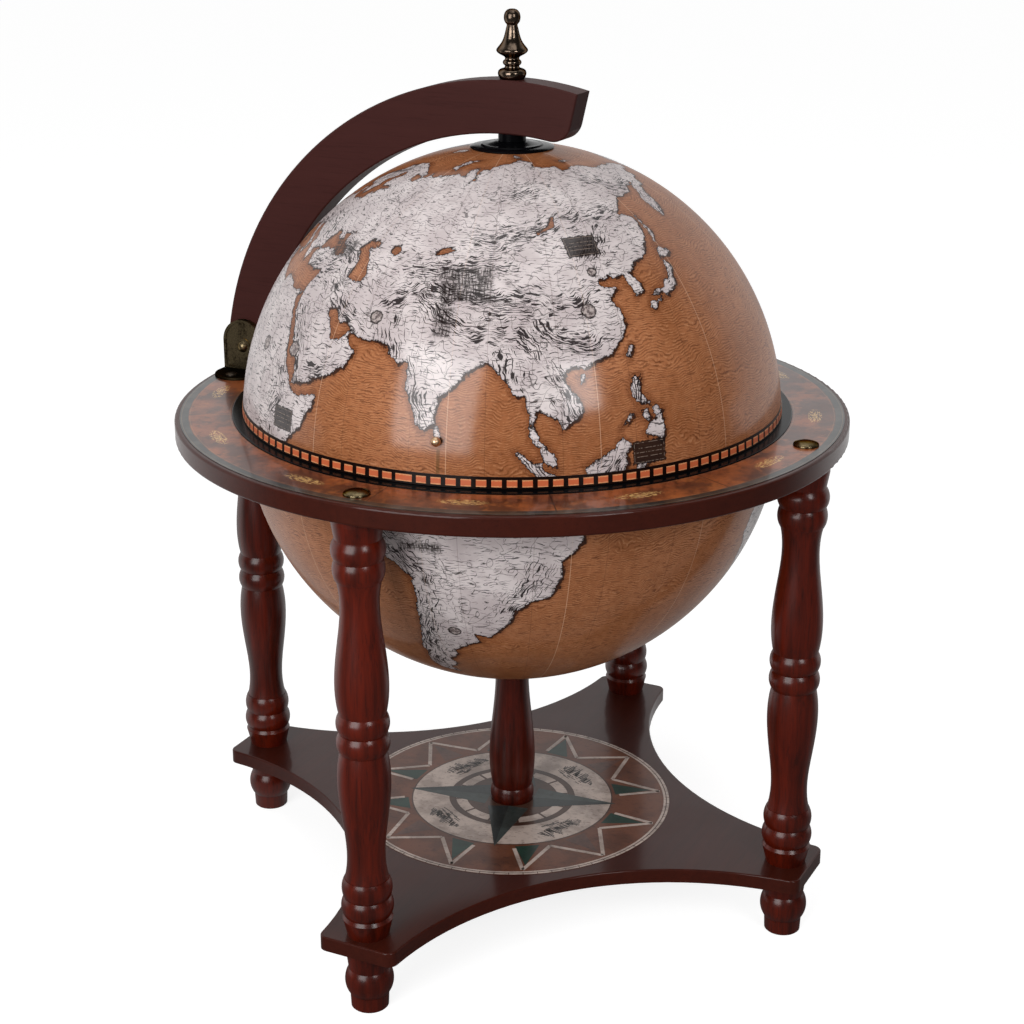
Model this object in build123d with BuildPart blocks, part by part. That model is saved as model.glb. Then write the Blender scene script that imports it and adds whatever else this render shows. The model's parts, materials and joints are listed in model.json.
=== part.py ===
from build123d import *
import os
from math import asin, cos, degrees, radians, sin, sqrt

# Tabletop globe bar. Millimetres, +Z up. The origin is on the floor under the globe's axis.
# The hinge is at +Y, and the lid opens backwards over it. The legs stand on +X, -X, +Y and -Y.

# ---- Driving dimensions ------------------------------------------------------------------

# Globe: two printed half shells round one centre
globe_radius = 165.0
globe_wall = 2.5
globe_drop = 4.8  # the globe's centre lies this far below the ring's top face

# Ring table
ring_top = 318.6
ring_thickness = 12.0
ring_overhang = 16.5  # board beyond the legs' centres
ring_bowl_gap = 0.5  # round the bowl, in the ring's hole
ring_edge_round = 1.5
rim_trim_width = 6.5  # black trim beyond the globe
rim_trim_thickness = 1.0
horizon_print_margin = 3.2  # from the print to the ring's edge
print_thickness = 0.3
print_gap = 0.2

# Legs, turned, each the same on both sides of its middle except for the cups
leg_gap = 9.3  # between the globe and a leg's beads
leg_bead_radius = 15.4
leg_end_bead_radius = 14.8
leg_groove_radius = 13.6
leg_neck_radius = 11.15
leg_bead_height = 12.0
leg_neck_from_end = 13.0  # from the neck to the end beads
leg_belly_rise = 17.6  # from the middle bead to the belly
leg_vase_end_inset = 0.8  # of the vase's ends, in from the grooves
leg_shoulder_inset = 0.4  # of the end beads' inner edge
cup_height = 13.0
cup_wide_radius = 14.8
cup_narrow_radius = 12.2
cup_flare_inset = 1.0  # of the upper cup's start, out from its narrow radius
cup_flare_rise = 0.6
cup_rim_height = 3.0
cup_shoulder_height = 2.0  # of the lower cup, under its groove

# Shelf: four arms between concave sides
shelf_top = 48.3
shelf_thickness = 9.0
shelf_side_radius = 188.9
shelf_waist = 113.3  # from the axis to the middle of a concave side
shelf_corner_round = 6.0
shelf_edge_round = 1.0
compass_radius = 103.7

# Feet, turned
foot_pad_radius = 11.1
foot_pad_top_radius = 11.5
foot_pad_height = 9.3
foot_bulb_radius = 14.4
foot_bulb_height = 16.7
foot_collar_radius = 13.4
foot_neck_radius = 12.1
foot_collar_height = 2.0
foot_pad_bevel = 0.6

# Centre column, turned
column_base_radius = 14.2
column_base_height = 10.2
column_groove_radius = 12.8
column_belly_radius = 14.8
column_belly_rise = 16.0  # from the groove to the belly
column_top_radius = 11.4
column_base_inset = 1.0  # of the base's bottom edge
column_taper_share = 0.55  # of the way from the belly to the top, where the taper is shaped
column_taper_extra = 0.6  # of radius there, over the top's

# Bolts, screws and their holes
bolt_radius = 3.0
bolt_head_radius = 5.5
bolt_head_height = 4.0
bolt_sink = 4.6  # counterbore for a head in the ring
bolt_sink_radius = 6.2
bolt_clearance = 0.1
bolt_grip = 26.0  # length of a bolt in a leg or in the column
foot_bolt_grip = 20.0
bolt_end_gap = 1.0  # left free past a bolt's end
washer_radius = 9.0
washer_thickness = 1.5
cap_radius = 7.4
cap_edge_height = 0.7
cap_height = 1.8

# Inside the bowl
bottle_rest_radius = 48.0
bottle_rest_thickness = 6.0
bottle_rest_round = 1.0
tray_depth = 52.0  # from the ring's top to the tray's top
tray_thickness = 6.0
tray_edge_gap = 0.3
ledge_height = 5.0
ledge_width = 7.5
ledge_lip_height = 1.7
bottle_hole_radius = 43.0
glass_hole_radius = 32.0
glass_hole_margin = 17.2  # between a glass hole and the tray's edge
glass_count = 6

# Arm
arm_gap = 7.0  # between the globe and the arm
arm_width = 31.3
arm_thickness = 18.0
arm_edge_bevel = 0.8
arm_tip_angle = 13.1  # past the pole
arm_tip_round = 12.0
arm_heel_radius = 14.0  # the arm's end round the hinge pin
arm_heel_inner_round = 6.0

# Hinge
flange_length = 68.0
flange_width = 31.2
flange_thickness = 2.0
flange_round = 0.8
heel_clearance = 1.4  # between the arm's heel and the flange
cheek_width = 29.0
cheek_height = 32.9  # above the flange
cheek_thickness = 4.0
cheek_gap = 0.4  # between a cheek and the arm
cheek_border = 1.8
cheek_recess = 0.6
pin_radius = 2.5
pin_head_radius = 3.8
pin_head_height = 2.2
pin_fit = 0.05
arm_bush_wall = 1.5
flange_screw_spacing = 54.0
flange_screw_radius = 2.0
flange_screw_head_radius = 4.0
flange_screw_head_height = 1.9
flange_screw_head_edge = 0.8
flange_screw_grip = 9.0  # length in the board
screw_end_gap = 0.5

# Pole: rod, spacer, bush and finial
rod_radius = 4.0
rod_fit = 0.05
spacer_radius = 8.3
pole_gap = 0.2  # between the spacer and the bush
disc_radius = 20.7
disc_edge = 1.1
disc_boss_radius = 9.5
disc_boss_height = 2.2  # above the top of the globe
disc_flare_reach = 2.6  # out from the boss, where the flare bends
disc_flare_rise = 0.9  # of the bend, above the disc's edge
spigot_radius = 7.0
spigot_gap = 0.1
clamp_nut_radius = 12.0
clamp_nut_height = 3.6
retainer_gap = 0.3
retainer_radius = 10.0
retainer_thickness = 1.5
rod_nut_radius = 7.0
rod_nut_height = 5.0
rod_tail = 2.0
rod_in_finial = 8.0

# Finial, turned in brass
finial_height = 40.3
finial_seat = 0.3  # depth of the flat that the finial stands on
finial_foot_radius = 7.0
finial_base_radius = 8.3
finial_base_height = 5.6
finial_base_bulge = 3.5  # height of the base's widest place
finial_neck_radius = 4.9
finial_neck_height = 2.0
finial_neck_inset = 0.3  # of the neck's end under the skirt
finial_bead_radius = 5.6
finial_bead_height = 3.4
finial_skirt_radius = 9.2
finial_skirt_inset = 1.6
finial_skirt_lip = 0.9
finial_skirt_edge = 3.2  # height of the skirt's widest place
finial_waist_radius = 6.3
finial_waist_height = 7.8  # above the skirt's bottom
finial_tip_neck_radius = 2.9
finial_ball_radius = 4.9

# Lid
lid_gap = 0.3  # between the lid's edge and the rim trim
band_height = 6.8
band_thickness = 0.3
liner_height = 6.0
liner_width = 4.0
knob_azimuth = -168.3
knob_height = 30.8  # above the globe's centre
knob_ball_radius = 2.75
knob_neck_radius = 1.5
knob_reach = 5.2
knob_shank_radius = 1.2
knob_collar_gap = 0.1  # between the globe and the knob's neck
knob_nut_radius = 3.0
knob_nut_height = 2.0
knob_tail = 1.0

# ---- Places worked out from the dimensions -------------------------------------------------

globe_z = ring_top - globe_drop
globe_inner_radius = globe_radius - globe_wall
ring_bottom = ring_top - ring_thickness
shelf_bottom = shelf_top - shelf_thickness
leg_circle_radius = globe_radius + leg_gap + leg_bead_radius
ring_outer_radius = leg_circle_radius + ring_overhang
ring_inner_radius = globe_radius + ring_bowl_gap
trim_outer_radius = globe_radius + rim_trim_width
trim_top = ring_top + rim_trim_thickness
lid_bottom = trim_top + lid_gap
bolt_hole_radius = bolt_radius + bolt_clearance
leg_azimuths = {"right": 0, "back": 90, "left": 180, "front": 270}

arm_inner_radius = globe_radius + arm_gap
arm_outer_radius = arm_inner_radius + arm_width
arm_bottom_at_pole = globe_z + arm_inner_radius
finial_bottom = globe_z + arm_outer_radius - finial_seat

flange_top = ring_top + flange_thickness
pin_z = flange_top + arm_heel_radius + heel_clearance
pin_rise = pin_z - globe_z
arm_heel_circle = arm_outer_radius - arm_heel_radius  # the pin lies on this circle round the globe
pin_y = sqrt(arm_heel_circle**2 - pin_rise**2)
cheek_inner_x = arm_thickness / 2 + cheek_gap
cheek_outer_x = cheek_inner_x + cheek_thickness
cheek_top = flange_top + cheek_height
arm_bush_radius = pin_radius + pin_fit + arm_bush_wall

globe_top = globe_z + globe_radius
bush_top = globe_top + disc_boss_height
rod_hole_radius = rod_radius + rod_fit

tray_top = ring_top - tray_depth
tray_bottom = tray_top - tray_thickness


def shell_radius(radius, z):
    """Radius of a sphere round the globe's centre, at the height z."""
    return sqrt(radius**2 - (z - globe_z) ** 2)


def shell_depth(radius, r):
    """How far above or below the globe's centre a sphere lies, at the distance r from the axis."""
    return sqrt(radius**2 - r**2)


def around(azimuth, radius):
    """Point at an azimuth in degrees and a distance from the vertical axis."""
    return (radius * cos(radians(azimuth)), radius * sin(radians(azimuth)))


def dome(radius, edge, top):
    """Arc of a spherical dome, from its edge to its top on the axis, in a sketch whose axis is Y."""
    rise = top - edge
    ball = (radius**2 + rise**2) / (2 * rise)
    ThreePointArc((radius, edge), (radius / 2, top - ball + shell_depth(ball, radius / 2)), (0, top))


def finish(part, name):
    """Labels a finished piece and writes it as a STEP file."""
    part.label = name
    export_step(part, f"parts/{name}.step")


os.makedirs("parts", exist_ok=True)

# ---- Shelf ---------------------------------------------------------------------------------

shelf_side_centre = (shelf_waist + shelf_side_radius) / sqrt(2)
with BuildPart() as base_shelf:
    with BuildSketch(Plane.XY.offset(shelf_bottom)) as shelf_outline:
        Rectangle(2 * ring_outer_radius, 2 * ring_outer_radius)
        with GridLocations(2 * shelf_side_centre, 2 * shelf_side_centre, 2, 2):
            Circle(shelf_side_radius, mode=Mode.SUBTRACT)
        fillet(shelf_outline.vertices(), shelf_corner_round)
    extrude(amount=shelf_thickness)
    fillet(base_shelf.faces().sort_by(Axis.Z)[-1].edges(), shelf_edge_round)
    with BuildSketch(Plane.XY.offset(shelf_bottom)):
        with PolarLocations(leg_circle_radius, 4):
            Circle(bolt_hole_radius)
        Circle(bolt_hole_radius)
    extrude(amount=shelf_thickness, mode=Mode.SUBTRACT)
finish(base_shelf.part, "base_shelf")

with BuildPart() as compass_print:
    with BuildSketch(Plane.XY.offset(shelf_top)):
        Circle(compass_radius)
        Circle(column_base_radius + print_gap, mode=Mode.SUBTRACT)
    extrude(amount=print_thickness)
finish(compass_print.part, "compass_print")

# ---- Legs and feet, turned, with the bolts that join them ------------------------------------

leg_length = ring_bottom - shelf_top
leg_middle = (ring_bottom + shelf_top) / 2
leg_beads_start = leg_length / 2 - cup_height - 2 * leg_bead_height


def leg_side(direction):
    """One half of the leg's outline, up (1) or down (-1) from its middle to the cup."""

    def at(radius, rise):
        return (radius, leg_middle + direction * rise)

    belly = leg_bead_height + leg_belly_rise
    neck = leg_beads_start - leg_neck_from_end
    ThreePointArc(
        at(leg_groove_radius, 0),
        at(leg_bead_radius, leg_bead_height / 2),
        at(leg_groove_radius, leg_bead_height),
    )
    Spline(
        at(leg_groove_radius, leg_bead_height),
        at(leg_bead_radius, belly),
        at((leg_bead_radius + leg_neck_radius) / 2, (belly + neck) / 2),
        at(leg_neck_radius, neck),
        at(leg_groove_radius - leg_vase_end_inset, leg_beads_start),
    )
    Line(
        at(leg_groove_radius - leg_vase_end_inset, leg_beads_start),
        at(leg_groove_radius - leg_shoulder_inset, leg_beads_start),
    )
    end_bead = leg_beads_start + leg_bead_height
    ThreePointArc(
        at(leg_groove_radius - leg_shoulder_inset, leg_beads_start),
        at(leg_end_bead_radius, leg_beads_start + leg_bead_height / 2),
        at(leg_groove_radius, end_bead),
    )
    ThreePointArc(
        at(leg_groove_radius, end_bead),
        at(leg_bead_radius, end_bead + leg_bead_height / 2),
        at(leg_groove_radius, end_bead + leg_bead_height),
    )


for name, azimuth in leg_azimuths.items():
    leg_x, leg_y = around(azimuth, leg_circle_radius)
    leg_plane = Plane(origin=(leg_x, leg_y, 0), x_dir=(1, 0, 0), z_dir=(0, -1, 0))
    leg_axis = Axis((leg_x, leg_y, 0), (0, 0, 1))

    with BuildPart() as leg:
        with BuildSketch(leg_plane):
            with BuildLine():
                leg_side(1)
                leg_side(-1)
                Polyline(
                    (leg_groove_radius, ring_bottom - cup_height),
                    (cup_narrow_radius + cup_flare_inset, ring_bottom - cup_height + cup_flare_rise),
                    (cup_wide_radius, ring_bottom - cup_rim_height),
                    (cup_wide_radius, ring_bottom),
                    (0, ring_bottom),
                    (0, shelf_top),
                    (cup_narrow_radius, shelf_top),
                    (cup_wide_radius, shelf_top + cup_height - cup_shoulder_height),
                    (leg_groove_radius, shelf_top + cup_height),
                )
            make_face()
        revolve(axis=leg_axis)
        with BuildSketch(Plane.XY.offset(shelf_top)):
            with Locations((leg_x, leg_y)):
                Circle(bolt_hole_radius)
        extrude(amount=bolt_grip + bolt_end_gap, mode=Mode.SUBTRACT)
        with BuildSketch(Plane.XY.offset(ring_bottom)):
            with Locations((leg_x, leg_y)):
                Circle(bolt_hole_radius)
        extrude(amount=-bolt_grip - bolt_end_gap, mode=Mode.SUBTRACT)
    finish(leg.part, f"leg_{name}")

    with BuildPart() as foot:
        with BuildSketch(leg_plane):
            with BuildLine():
                bulb_top = foot_pad_height + foot_bulb_height
                Polyline(
                    (foot_neck_radius, bulb_top),
                    (foot_collar_radius, shelf_bottom - foot_collar_height),
                    (foot_collar_radius, shelf_bottom),
                    (0, shelf_bottom),
                    (0, 0),
                    (foot_pad_radius - foot_pad_bevel, 0),
                    (foot_pad_radius, foot_pad_bevel),
                    (foot_pad_top_radius, foot_pad_height),
                )
                ThreePointArc(
                    (foot_pad_top_radius, foot_pad_height),
                    (foot_bulb_radius, foot_pad_height + foot_bulb_height / 2),
                    (foot_neck_radius, bulb_top),
                )
            make_face()
        revolve(axis=leg_axis)
        with BuildSketch(Plane.XY.offset(shelf_bottom)):
            with Locations((leg_x, leg_y)):
                Circle(bolt_hole_radius)
        extrude(amount=-foot_bolt_grip - bolt_end_gap, mode=Mode.SUBTRACT)
    finish(foot.part, f"foot_{name}")

with BuildPart() as foot_bolts:
    with BuildSketch(Plane.XY.offset(shelf_bottom - foot_bolt_grip)):
        with PolarLocations(leg_circle_radius, 4):
            Circle(bolt_radius)
    extrude(amount=foot_bolt_grip + shelf_thickness + bolt_grip)
finish(foot_bolts.part, "foot_bolts")

with BuildPart() as leg_bolts:
    head_bottom = ring_top - bolt_sink
    with BuildSketch(Plane.XY.offset(head_bottom)):
        with PolarLocations(leg_circle_radius, 4):
            Circle(bolt_head_radius)
    extrude(amount=bolt_head_height)
    with BuildSketch(Plane.XY.offset(head_bottom)):
        with PolarLocations(leg_circle_radius, 4):
            Circle(bolt_radius)
    extrude(amount=-(head_bottom - ring_bottom + bolt_grip))
finish(leg_bolts.part, "leg_bolts")

# ---- Centre column ---------------------------------------------------------------------------

column_groove_z = shelf_top + column_base_height
column_belly_z = column_groove_z + column_belly_rise
column_top_z = globe_z - shell_depth(globe_radius, column_top_radius)
column_taper_z = column_belly_z + column_taper_share * (column_top_z - column_belly_z)
with BuildPart() as centre_column:
    with BuildSketch(Plane.XZ):
        with BuildLine():
            ThreePointArc(
                (column_base_radius - column_base_inset, shelf_top),
                (column_base_radius, shelf_top + column_base_height / 2),
                (column_groove_radius, column_groove_z),
            )
            Spline(
                (column_groove_radius, column_groove_z),
                (column_belly_radius, column_belly_z),
                (column_top_radius + column_taper_extra, column_taper_z),
                (column_top_radius, column_top_z),
            )
            ThreePointArc(
                (column_top_radius, column_top_z),
                (column_top_radius / 2, globe_z - shell_depth(globe_radius, column_top_radius / 2)),
                (0, globe_z - globe_radius),
            )
            Polyline(
                (0, globe_z - globe_radius),
                (0, shelf_top),
                (column_base_radius - column_base_inset, shelf_top),
            )
        make_face()
    revolve(axis=Axis.Z)
    with BuildSketch(Plane.XY.offset(shelf_top)):
        Circle(bolt_hole_radius)
    extrude(amount=bolt_grip + bolt_end_gap, mode=Mode.SUBTRACT)
    with BuildSketch(Plane.XY.offset(column_top_z)):
        Circle(bolt_hole_radius)
    extrude(amount=-bolt_grip - bolt_end_gap, mode=Mode.SUBTRACT)
finish(centre_column.part, "centre_column")

with BuildPart() as column_bolt:
    with BuildSketch(Plane.XY.offset(shelf_bottom)):
        Circle(bolt_head_radius)
    extrude(amount=-bolt_head_height)
    with BuildSketch(Plane.XY.offset(shelf_bottom)):
        Circle(bolt_radius)
    extrude(amount=shelf_thickness + bolt_grip)
finish(column_bolt.part, "column_bolt")

# ---- Ring table --------------------------------------------------------------------------------

with BuildPart() as ring_table:
    with BuildSketch(Plane.XY.offset(ring_bottom)):
        Circle(ring_outer_radius)
        Circle(ring_inner_radius, mode=Mode.SUBTRACT)
    extrude(amount=ring_thickness)
    fillet(ring_table.edges().filter_by(GeomType.CIRCLE).group_by(SortBy.RADIUS)[-1], ring_edge_round)
    with Locations(Plane.XY.offset(ring_top)):
        with PolarLocations(leg_circle_radius, 4):
            CounterBoreHole(bolt_hole_radius, bolt_sink_radius, bolt_sink)
    with BuildSketch(Plane.XY.offset(ring_top)):
        with Locations((0, pin_y)):
            with GridLocations(flange_screw_spacing, 0, 2, 1):
                Circle(flange_screw_radius + bolt_clearance)
    extrude(amount=-flange_screw_grip - screw_end_gap, mode=Mode.SUBTRACT)
finish(ring_table.part, "ring_table")

with BuildPart() as horizon_print:
    with BuildSketch(Plane.XY.offset(ring_top)):
        Circle(ring_outer_radius - horizon_print_margin)
        Circle(trim_outer_radius + print_gap, mode=Mode.SUBTRACT)
        for name in ("right", "left", "front"):
            with Locations(around(leg_azimuths[name], leg_circle_radius)):
                Circle(cap_radius + print_gap, mode=Mode.SUBTRACT)
        with Locations((0, pin_y)):
            SlotOverall(flange_length + 2 * print_gap, flange_width + 2 * print_gap, mode=Mode.SUBTRACT)
    extrude(amount=print_thickness)
finish(horizon_print.part, "horizon_print")

with BuildPart() as bolt_caps:
    for name in ("right", "left", "front"):
        cap_x, cap_y = around(leg_azimuths[name], leg_circle_radius)
        cap_plane = Plane(origin=(cap_x, cap_y, ring_top), x_dir=(1, 0, 0), z_dir=(0, -1, 0))
        with BuildSketch(cap_plane):
            with BuildLine():
                Polyline((0, cap_height), (0, 0), (cap_radius, 0), (cap_radius, cap_edge_height))
                dome(cap_radius, cap_edge_height, cap_height)
            make_face()
        revolve(axis=Axis((cap_x, cap_y, 0), (0, 0, 1)))
finish(bolt_caps.part, "bolt_caps")

with BuildPart() as rim_trim:
    with BuildSketch(Plane.XY.offset(ring_top)):
        Circle(trim_outer_radius)
        Circle(globe_inner_radius, mode=Mode.SUBTRACT)
    extrude(amount=rim_trim_thickness)
    fillet(rim_trim.edges().group_by(Axis.Z)[-1].sort_by(SortBy.RADIUS)[-1], rim_trim_thickness / 2)
finish(rim_trim.part, "rim_trim")

# ---- Bowl and what is in it ----------------------------------------------------------------------


def shell_profile(cut_z, pole_hole_radius, side):
    """Half section of a shell from the plane z = cut_z to its pole, up (1) or down (-1)."""
    outer_pole = (pole_hole_radius, globe_z + side * shell_depth(globe_radius, pole_hole_radius))
    inner_pole = (pole_hole_radius, globe_z + side * shell_depth(globe_inner_radius, pole_hole_radius))
    slant = cos(radians(45))
    ThreePointArc(
        (shell_radius(globe_radius, cut_z), cut_z),
        (globe_radius * slant, globe_z + side * globe_radius * slant),
        outer_pole,
    )
    Line(outer_pole, inner_pole)
    ThreePointArc(
        inner_pole,
        (globe_inner_radius * slant, globe_z + side * globe_inner_radius * slant),
        (shell_radius(globe_inner_radius, cut_z), cut_z),
    )
    Line((shell_radius(globe_inner_radius, cut_z), cut_z), (shell_radius(globe_radius, cut_z), cut_z))


with BuildPart() as lower_bowl:
    with BuildSketch(Plane.XZ):
        with BuildLine():
            shell_profile(ring_top, bolt_hole_radius, -1)
        make_face()
    revolve(axis=Axis.Z)
finish(lower_bowl.part, "lower_bowl")

washer_bottom = globe_z - shell_depth(globe_inner_radius, washer_radius)
with BuildPart() as bowl_washer:
    with BuildSketch(Plane.XY.offset(washer_bottom)):
        Circle(washer_radius)
        Circle(bolt_hole_radius, mode=Mode.SUBTRACT)
    extrude(amount=washer_thickness)
finish(bowl_washer.part, "bowl_washer")

washer_top = washer_bottom + washer_thickness
with BuildPart() as bowl_screw:
    with BuildSketch(Plane.XY.offset(washer_top)):
        Circle(bolt_head_radius)
    extrude(amount=bolt_head_height)
    with BuildSketch(Plane.XY.offset(washer_top)):
        Circle(bolt_radius)
    extrude(amount=-(washer_top - column_top_z + bolt_grip))
finish(bowl_screw.part, "bowl_screw")

rest_bottom = globe_z - shell_depth(globe_inner_radius, bottle_rest_radius)
with BuildPart() as bottle_rest:
    with BuildSketch(Plane.XY.offset(rest_bottom)):
        Circle(bottle_rest_radius)
    extrude(amount=bottle_rest_thickness)
    fillet(bottle_rest.edges().group_by(Axis.Z)[-1], bottle_rest_round)
finish(bottle_rest.part, "bottle_rest")

ledge_bottom = tray_bottom - ledge_height
ledge_outer = shell_radius(globe_inner_radius, ledge_bottom)
ledge_top_outer = shell_radius(globe_inner_radius, tray_bottom)
tray_radius = ledge_top_outer - tray_edge_gap
glass_circle_radius = tray_radius - glass_hole_radius - glass_hole_margin
ledge_middle = tray_bottom - ledge_height / 2
with BuildPart() as tray_ledge:
    with BuildSketch(Plane.XZ):
        with BuildLine():
            ThreePointArc(
                (ledge_outer, ledge_bottom),
                (shell_radius(globe_inner_radius, ledge_middle), ledge_middle),
                (ledge_top_outer, tray_bottom),
            )
            Polyline(
                (ledge_top_outer, tray_bottom),
                (ledge_top_outer - ledge_width, tray_bottom),
                (ledge_top_outer - ledge_width, tray_bottom - ledge_lip_height),
                (ledge_outer, ledge_bottom),
            )
        make_face()
    revolve(axis=Axis.Z)
finish(tray_ledge.part, "tray_ledge")

with BuildPart() as drinks_tray:
    with BuildSketch(Plane.XY.offset(tray_bottom)):
        Circle(tray_radius)
        Circle(bottle_hole_radius, mode=Mode.SUBTRACT)
        with PolarLocations(glass_circle_radius, glass_count):
            Circle(glass_hole_radius, mode=Mode.SUBTRACT)
    extrude(amount=tray_thickness)
finish(drinks_tray.part, "drinks_tray")

# ---- Hinge -------------------------------------------------------------------------------------

with BuildPart() as hinge_bracket:
    with BuildSketch(Plane.XY.offset(ring_top)):
        with Locations((0, pin_y)):
            SlotOverall(flange_length, flange_width)
    extrude(amount=flange_thickness)
    fillet(hinge_bracket.edges().group_by(Axis.Z)[-1], flange_round)
    for side in (-1, 1):
        with BuildSketch(Plane.YZ.offset(side * cheek_inner_x)):
            with Locations((pin_y, cheek_top - cheek_width / 2)):
                Circle(cheek_width / 2)
            with Locations((pin_y, (flange_top + cheek_top - cheek_width / 2) / 2)):
                Rectangle(cheek_width, cheek_height - cheek_width / 2)
        extrude(amount=side * cheek_thickness)
        with BuildSketch(Plane.YZ.offset(side * cheek_outer_x)):
            with Locations((pin_y, cheek_top - cheek_width / 2)):
                Circle(cheek_width / 2 - cheek_border)
            with Locations((pin_y, (flange_top + cheek_top - cheek_width / 2 + cheek_border) / 2)):
                Rectangle(cheek_width - 2 * cheek_border, cheek_height - cheek_width / 2 - cheek_border)
            with Locations((pin_y, pin_z)):
                Circle(pin_head_radius + cheek_border, mode=Mode.SUBTRACT)
        extrude(amount=-side * cheek_recess, mode=Mode.SUBTRACT)
    with BuildSketch(Plane.YZ):
        with Locations((pin_y, pin_z)):
            Circle(pin_radius + pin_fit)
    extrude(amount=cheek_outer_x, both=True, mode=Mode.SUBTRACT)
    with BuildSketch(Plane.XY.offset(ring_top)):
        with Locations((0, pin_y)):
            with GridLocations(flange_screw_spacing, 0, 2, 1):
                Circle(flange_screw_radius + bolt_clearance)
    extrude(amount=flange_thickness, mode=Mode.SUBTRACT)
finish(hinge_bracket.part, "hinge_bracket")

with BuildPart() as hinge_screws:
    for side in (-1, 1):
        screw_x = side * flange_screw_spacing / 2
        screw_plane = Plane(origin=(screw_x, pin_y, flange_top), x_dir=(1, 0, 0), z_dir=(0, -1, 0))
        with BuildSketch(screw_plane):
            with BuildLine():
                Polyline(
                    (0, flange_screw_head_height),
                    (0, -flange_thickness - flange_screw_grip),
                    (flange_screw_radius, -flange_thickness - flange_screw_grip + flange_screw_radius),
                    (flange_screw_radius, 0),
                    (flange_screw_head_radius, 0),
                    (flange_screw_head_radius, flange_screw_head_edge),
                )
                dome(flange_screw_head_radius, flange_screw_head_edge, flange_screw_head_height)
            make_face()
        revolve(axis=Axis((screw_x, pin_y, 0), (0, 0, 1)))
finish(hinge_screws.part, "hinge_screws")

with BuildPart() as hinge_pin:
    with BuildSketch(Plane.YZ):
        with Locations((pin_y, pin_z)):
            Circle(pin_radius)
    extrude(amount=cheek_outer_x, both=True)
    for side in (-1, 1):
        head_plane = Plane(origin=(side * cheek_outer_x, pin_y, pin_z), x_dir=(0, 0, 1), z_dir=(0, side, 0))
        with BuildSketch(head_plane):
            with BuildLine():
                Polyline((0, pin_head_height), (0, 0), (pin_head_radius, 0))
                dome(pin_head_radius, 0, pin_head_height)
            make_face()
        revolve(axis=Axis((0, pin_y, pin_z), (1, 0, 0)))
finish(hinge_pin.part, "hinge_pin")

# ---- Arm and what turns with it --------------------------------------------------------------------

outer_start = degrees(asin(pin_rise / arm_heel_circle))
heel_bottom = pin_z - arm_heel_radius
inner_end = degrees(asin((heel_bottom - globe_z) / arm_inner_radius))
tip_direction = 90 + arm_tip_angle
with BuildPart() as meridian_arm:
    with BuildSketch(Plane.YZ) as arm_outline:
        with BuildLine():
            outer_edge = CenterArc((0, globe_z), arm_outer_radius, outer_start, tip_direction - outer_start)
            inner_edge = CenterArc((0, globe_z), arm_inner_radius, tip_direction, inner_end - tip_direction)
            Line(outer_edge @ 1, inner_edge @ 0)
            heel = CenterArc((pin_y, pin_z), arm_heel_radius, -90, 90 + outer_start)
            Line(inner_edge @ 1, heel @ 0)
        make_face()
        tip_corner = arm_outline.vertices().sort_by(Axis.X)[0:2].sort_by(Axis.Y)[0]
        fillet(tip_corner, arm_tip_round)
        heel_corner = arm_outline.vertices().sort_by(Axis.Y)[0:2].sort_by(Axis.X)[0]
        fillet(heel_corner, arm_heel_inner_round)
    extrude(amount=arm_thickness / 2, both=True)
    chamfer(meridian_arm.faces().filter_by(Axis.X).edges(), arm_edge_bevel)
    with BuildSketch(Plane.YZ):
        with Locations((pin_y, pin_z)):
            Circle(arm_bush_radius)
    extrude(amount=arm_thickness / 2, both=True, mode=Mode.SUBTRACT)
    with BuildSketch(Plane.XY.offset(arm_bottom_at_pole - arm_width)):
        Circle(rod_radius + bolt_clearance)
    extrude(amount=3 * arm_width, mode=Mode.SUBTRACT)
    with BuildSketch(Plane.XY.offset(finial_bottom)):
        Circle(finial_foot_radius + bolt_clearance)
    extrude(amount=2 * finial_seat, mode=Mode.SUBTRACT)
finish(meridian_arm.part, "meridian_arm")

with BuildPart() as arm_bush:
    with BuildSketch(Plane.YZ):
        with Locations((pin_y, pin_z)):
            Circle(arm_bush_radius)
            Circle(pin_radius + pin_fit, mode=Mode.SUBTRACT)
    extrude(amount=arm_thickness / 2, both=True)
finish(arm_bush.part, "arm_bush")

spacer_bottom = bush_top + pole_gap
spacer_top = globe_z + shell_depth(arm_inner_radius, spacer_radius)
with BuildPart() as pole_spacer:
    with BuildSketch(Plane.XY.offset(spacer_bottom)):
        Circle(spacer_radius)
        Circle(rod_radius + bolt_clearance, mode=Mode.SUBTRACT)
    extrude(amount=spacer_top - spacer_bottom)
finish(pole_spacer.part, "pole_spacer")

clamp_nut_top = globe_z + shell_depth(globe_inner_radius, clamp_nut_radius)
clamp_nut_bottom = clamp_nut_top - clamp_nut_height
retainer_top = clamp_nut_bottom - retainer_gap
retainer_bottom = retainer_top - retainer_thickness
rod_bottom = retainer_bottom - rod_nut_height - rod_tail
rod_top = finial_bottom + rod_in_finial

with BuildPart() as pole_rod:
    with BuildSketch(Plane.XY.offset(rod_bottom)):
        Circle(rod_radius)
    extrude(amount=rod_top - rod_bottom)
finish(pole_rod.part, "pole_rod")

with BuildPart() as pole_washer:
    with BuildSketch(Plane.XY.offset(retainer_bottom)):
        Circle(retainer_radius)
        Circle(rod_radius + bolt_clearance, mode=Mode.SUBTRACT)
    extrude(amount=retainer_thickness)
finish(pole_washer.part, "pole_washer")

with BuildPart() as pole_nut:
    with BuildSketch(Plane.XY.offset(retainer_bottom)):
        RegularPolygon(rod_nut_radius, 6)
        Circle(rod_radius + bolt_clearance, mode=Mode.SUBTRACT)
    extrude(amount=-rod_nut_height)
finish(pole_nut.part, "pole_nut")

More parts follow.
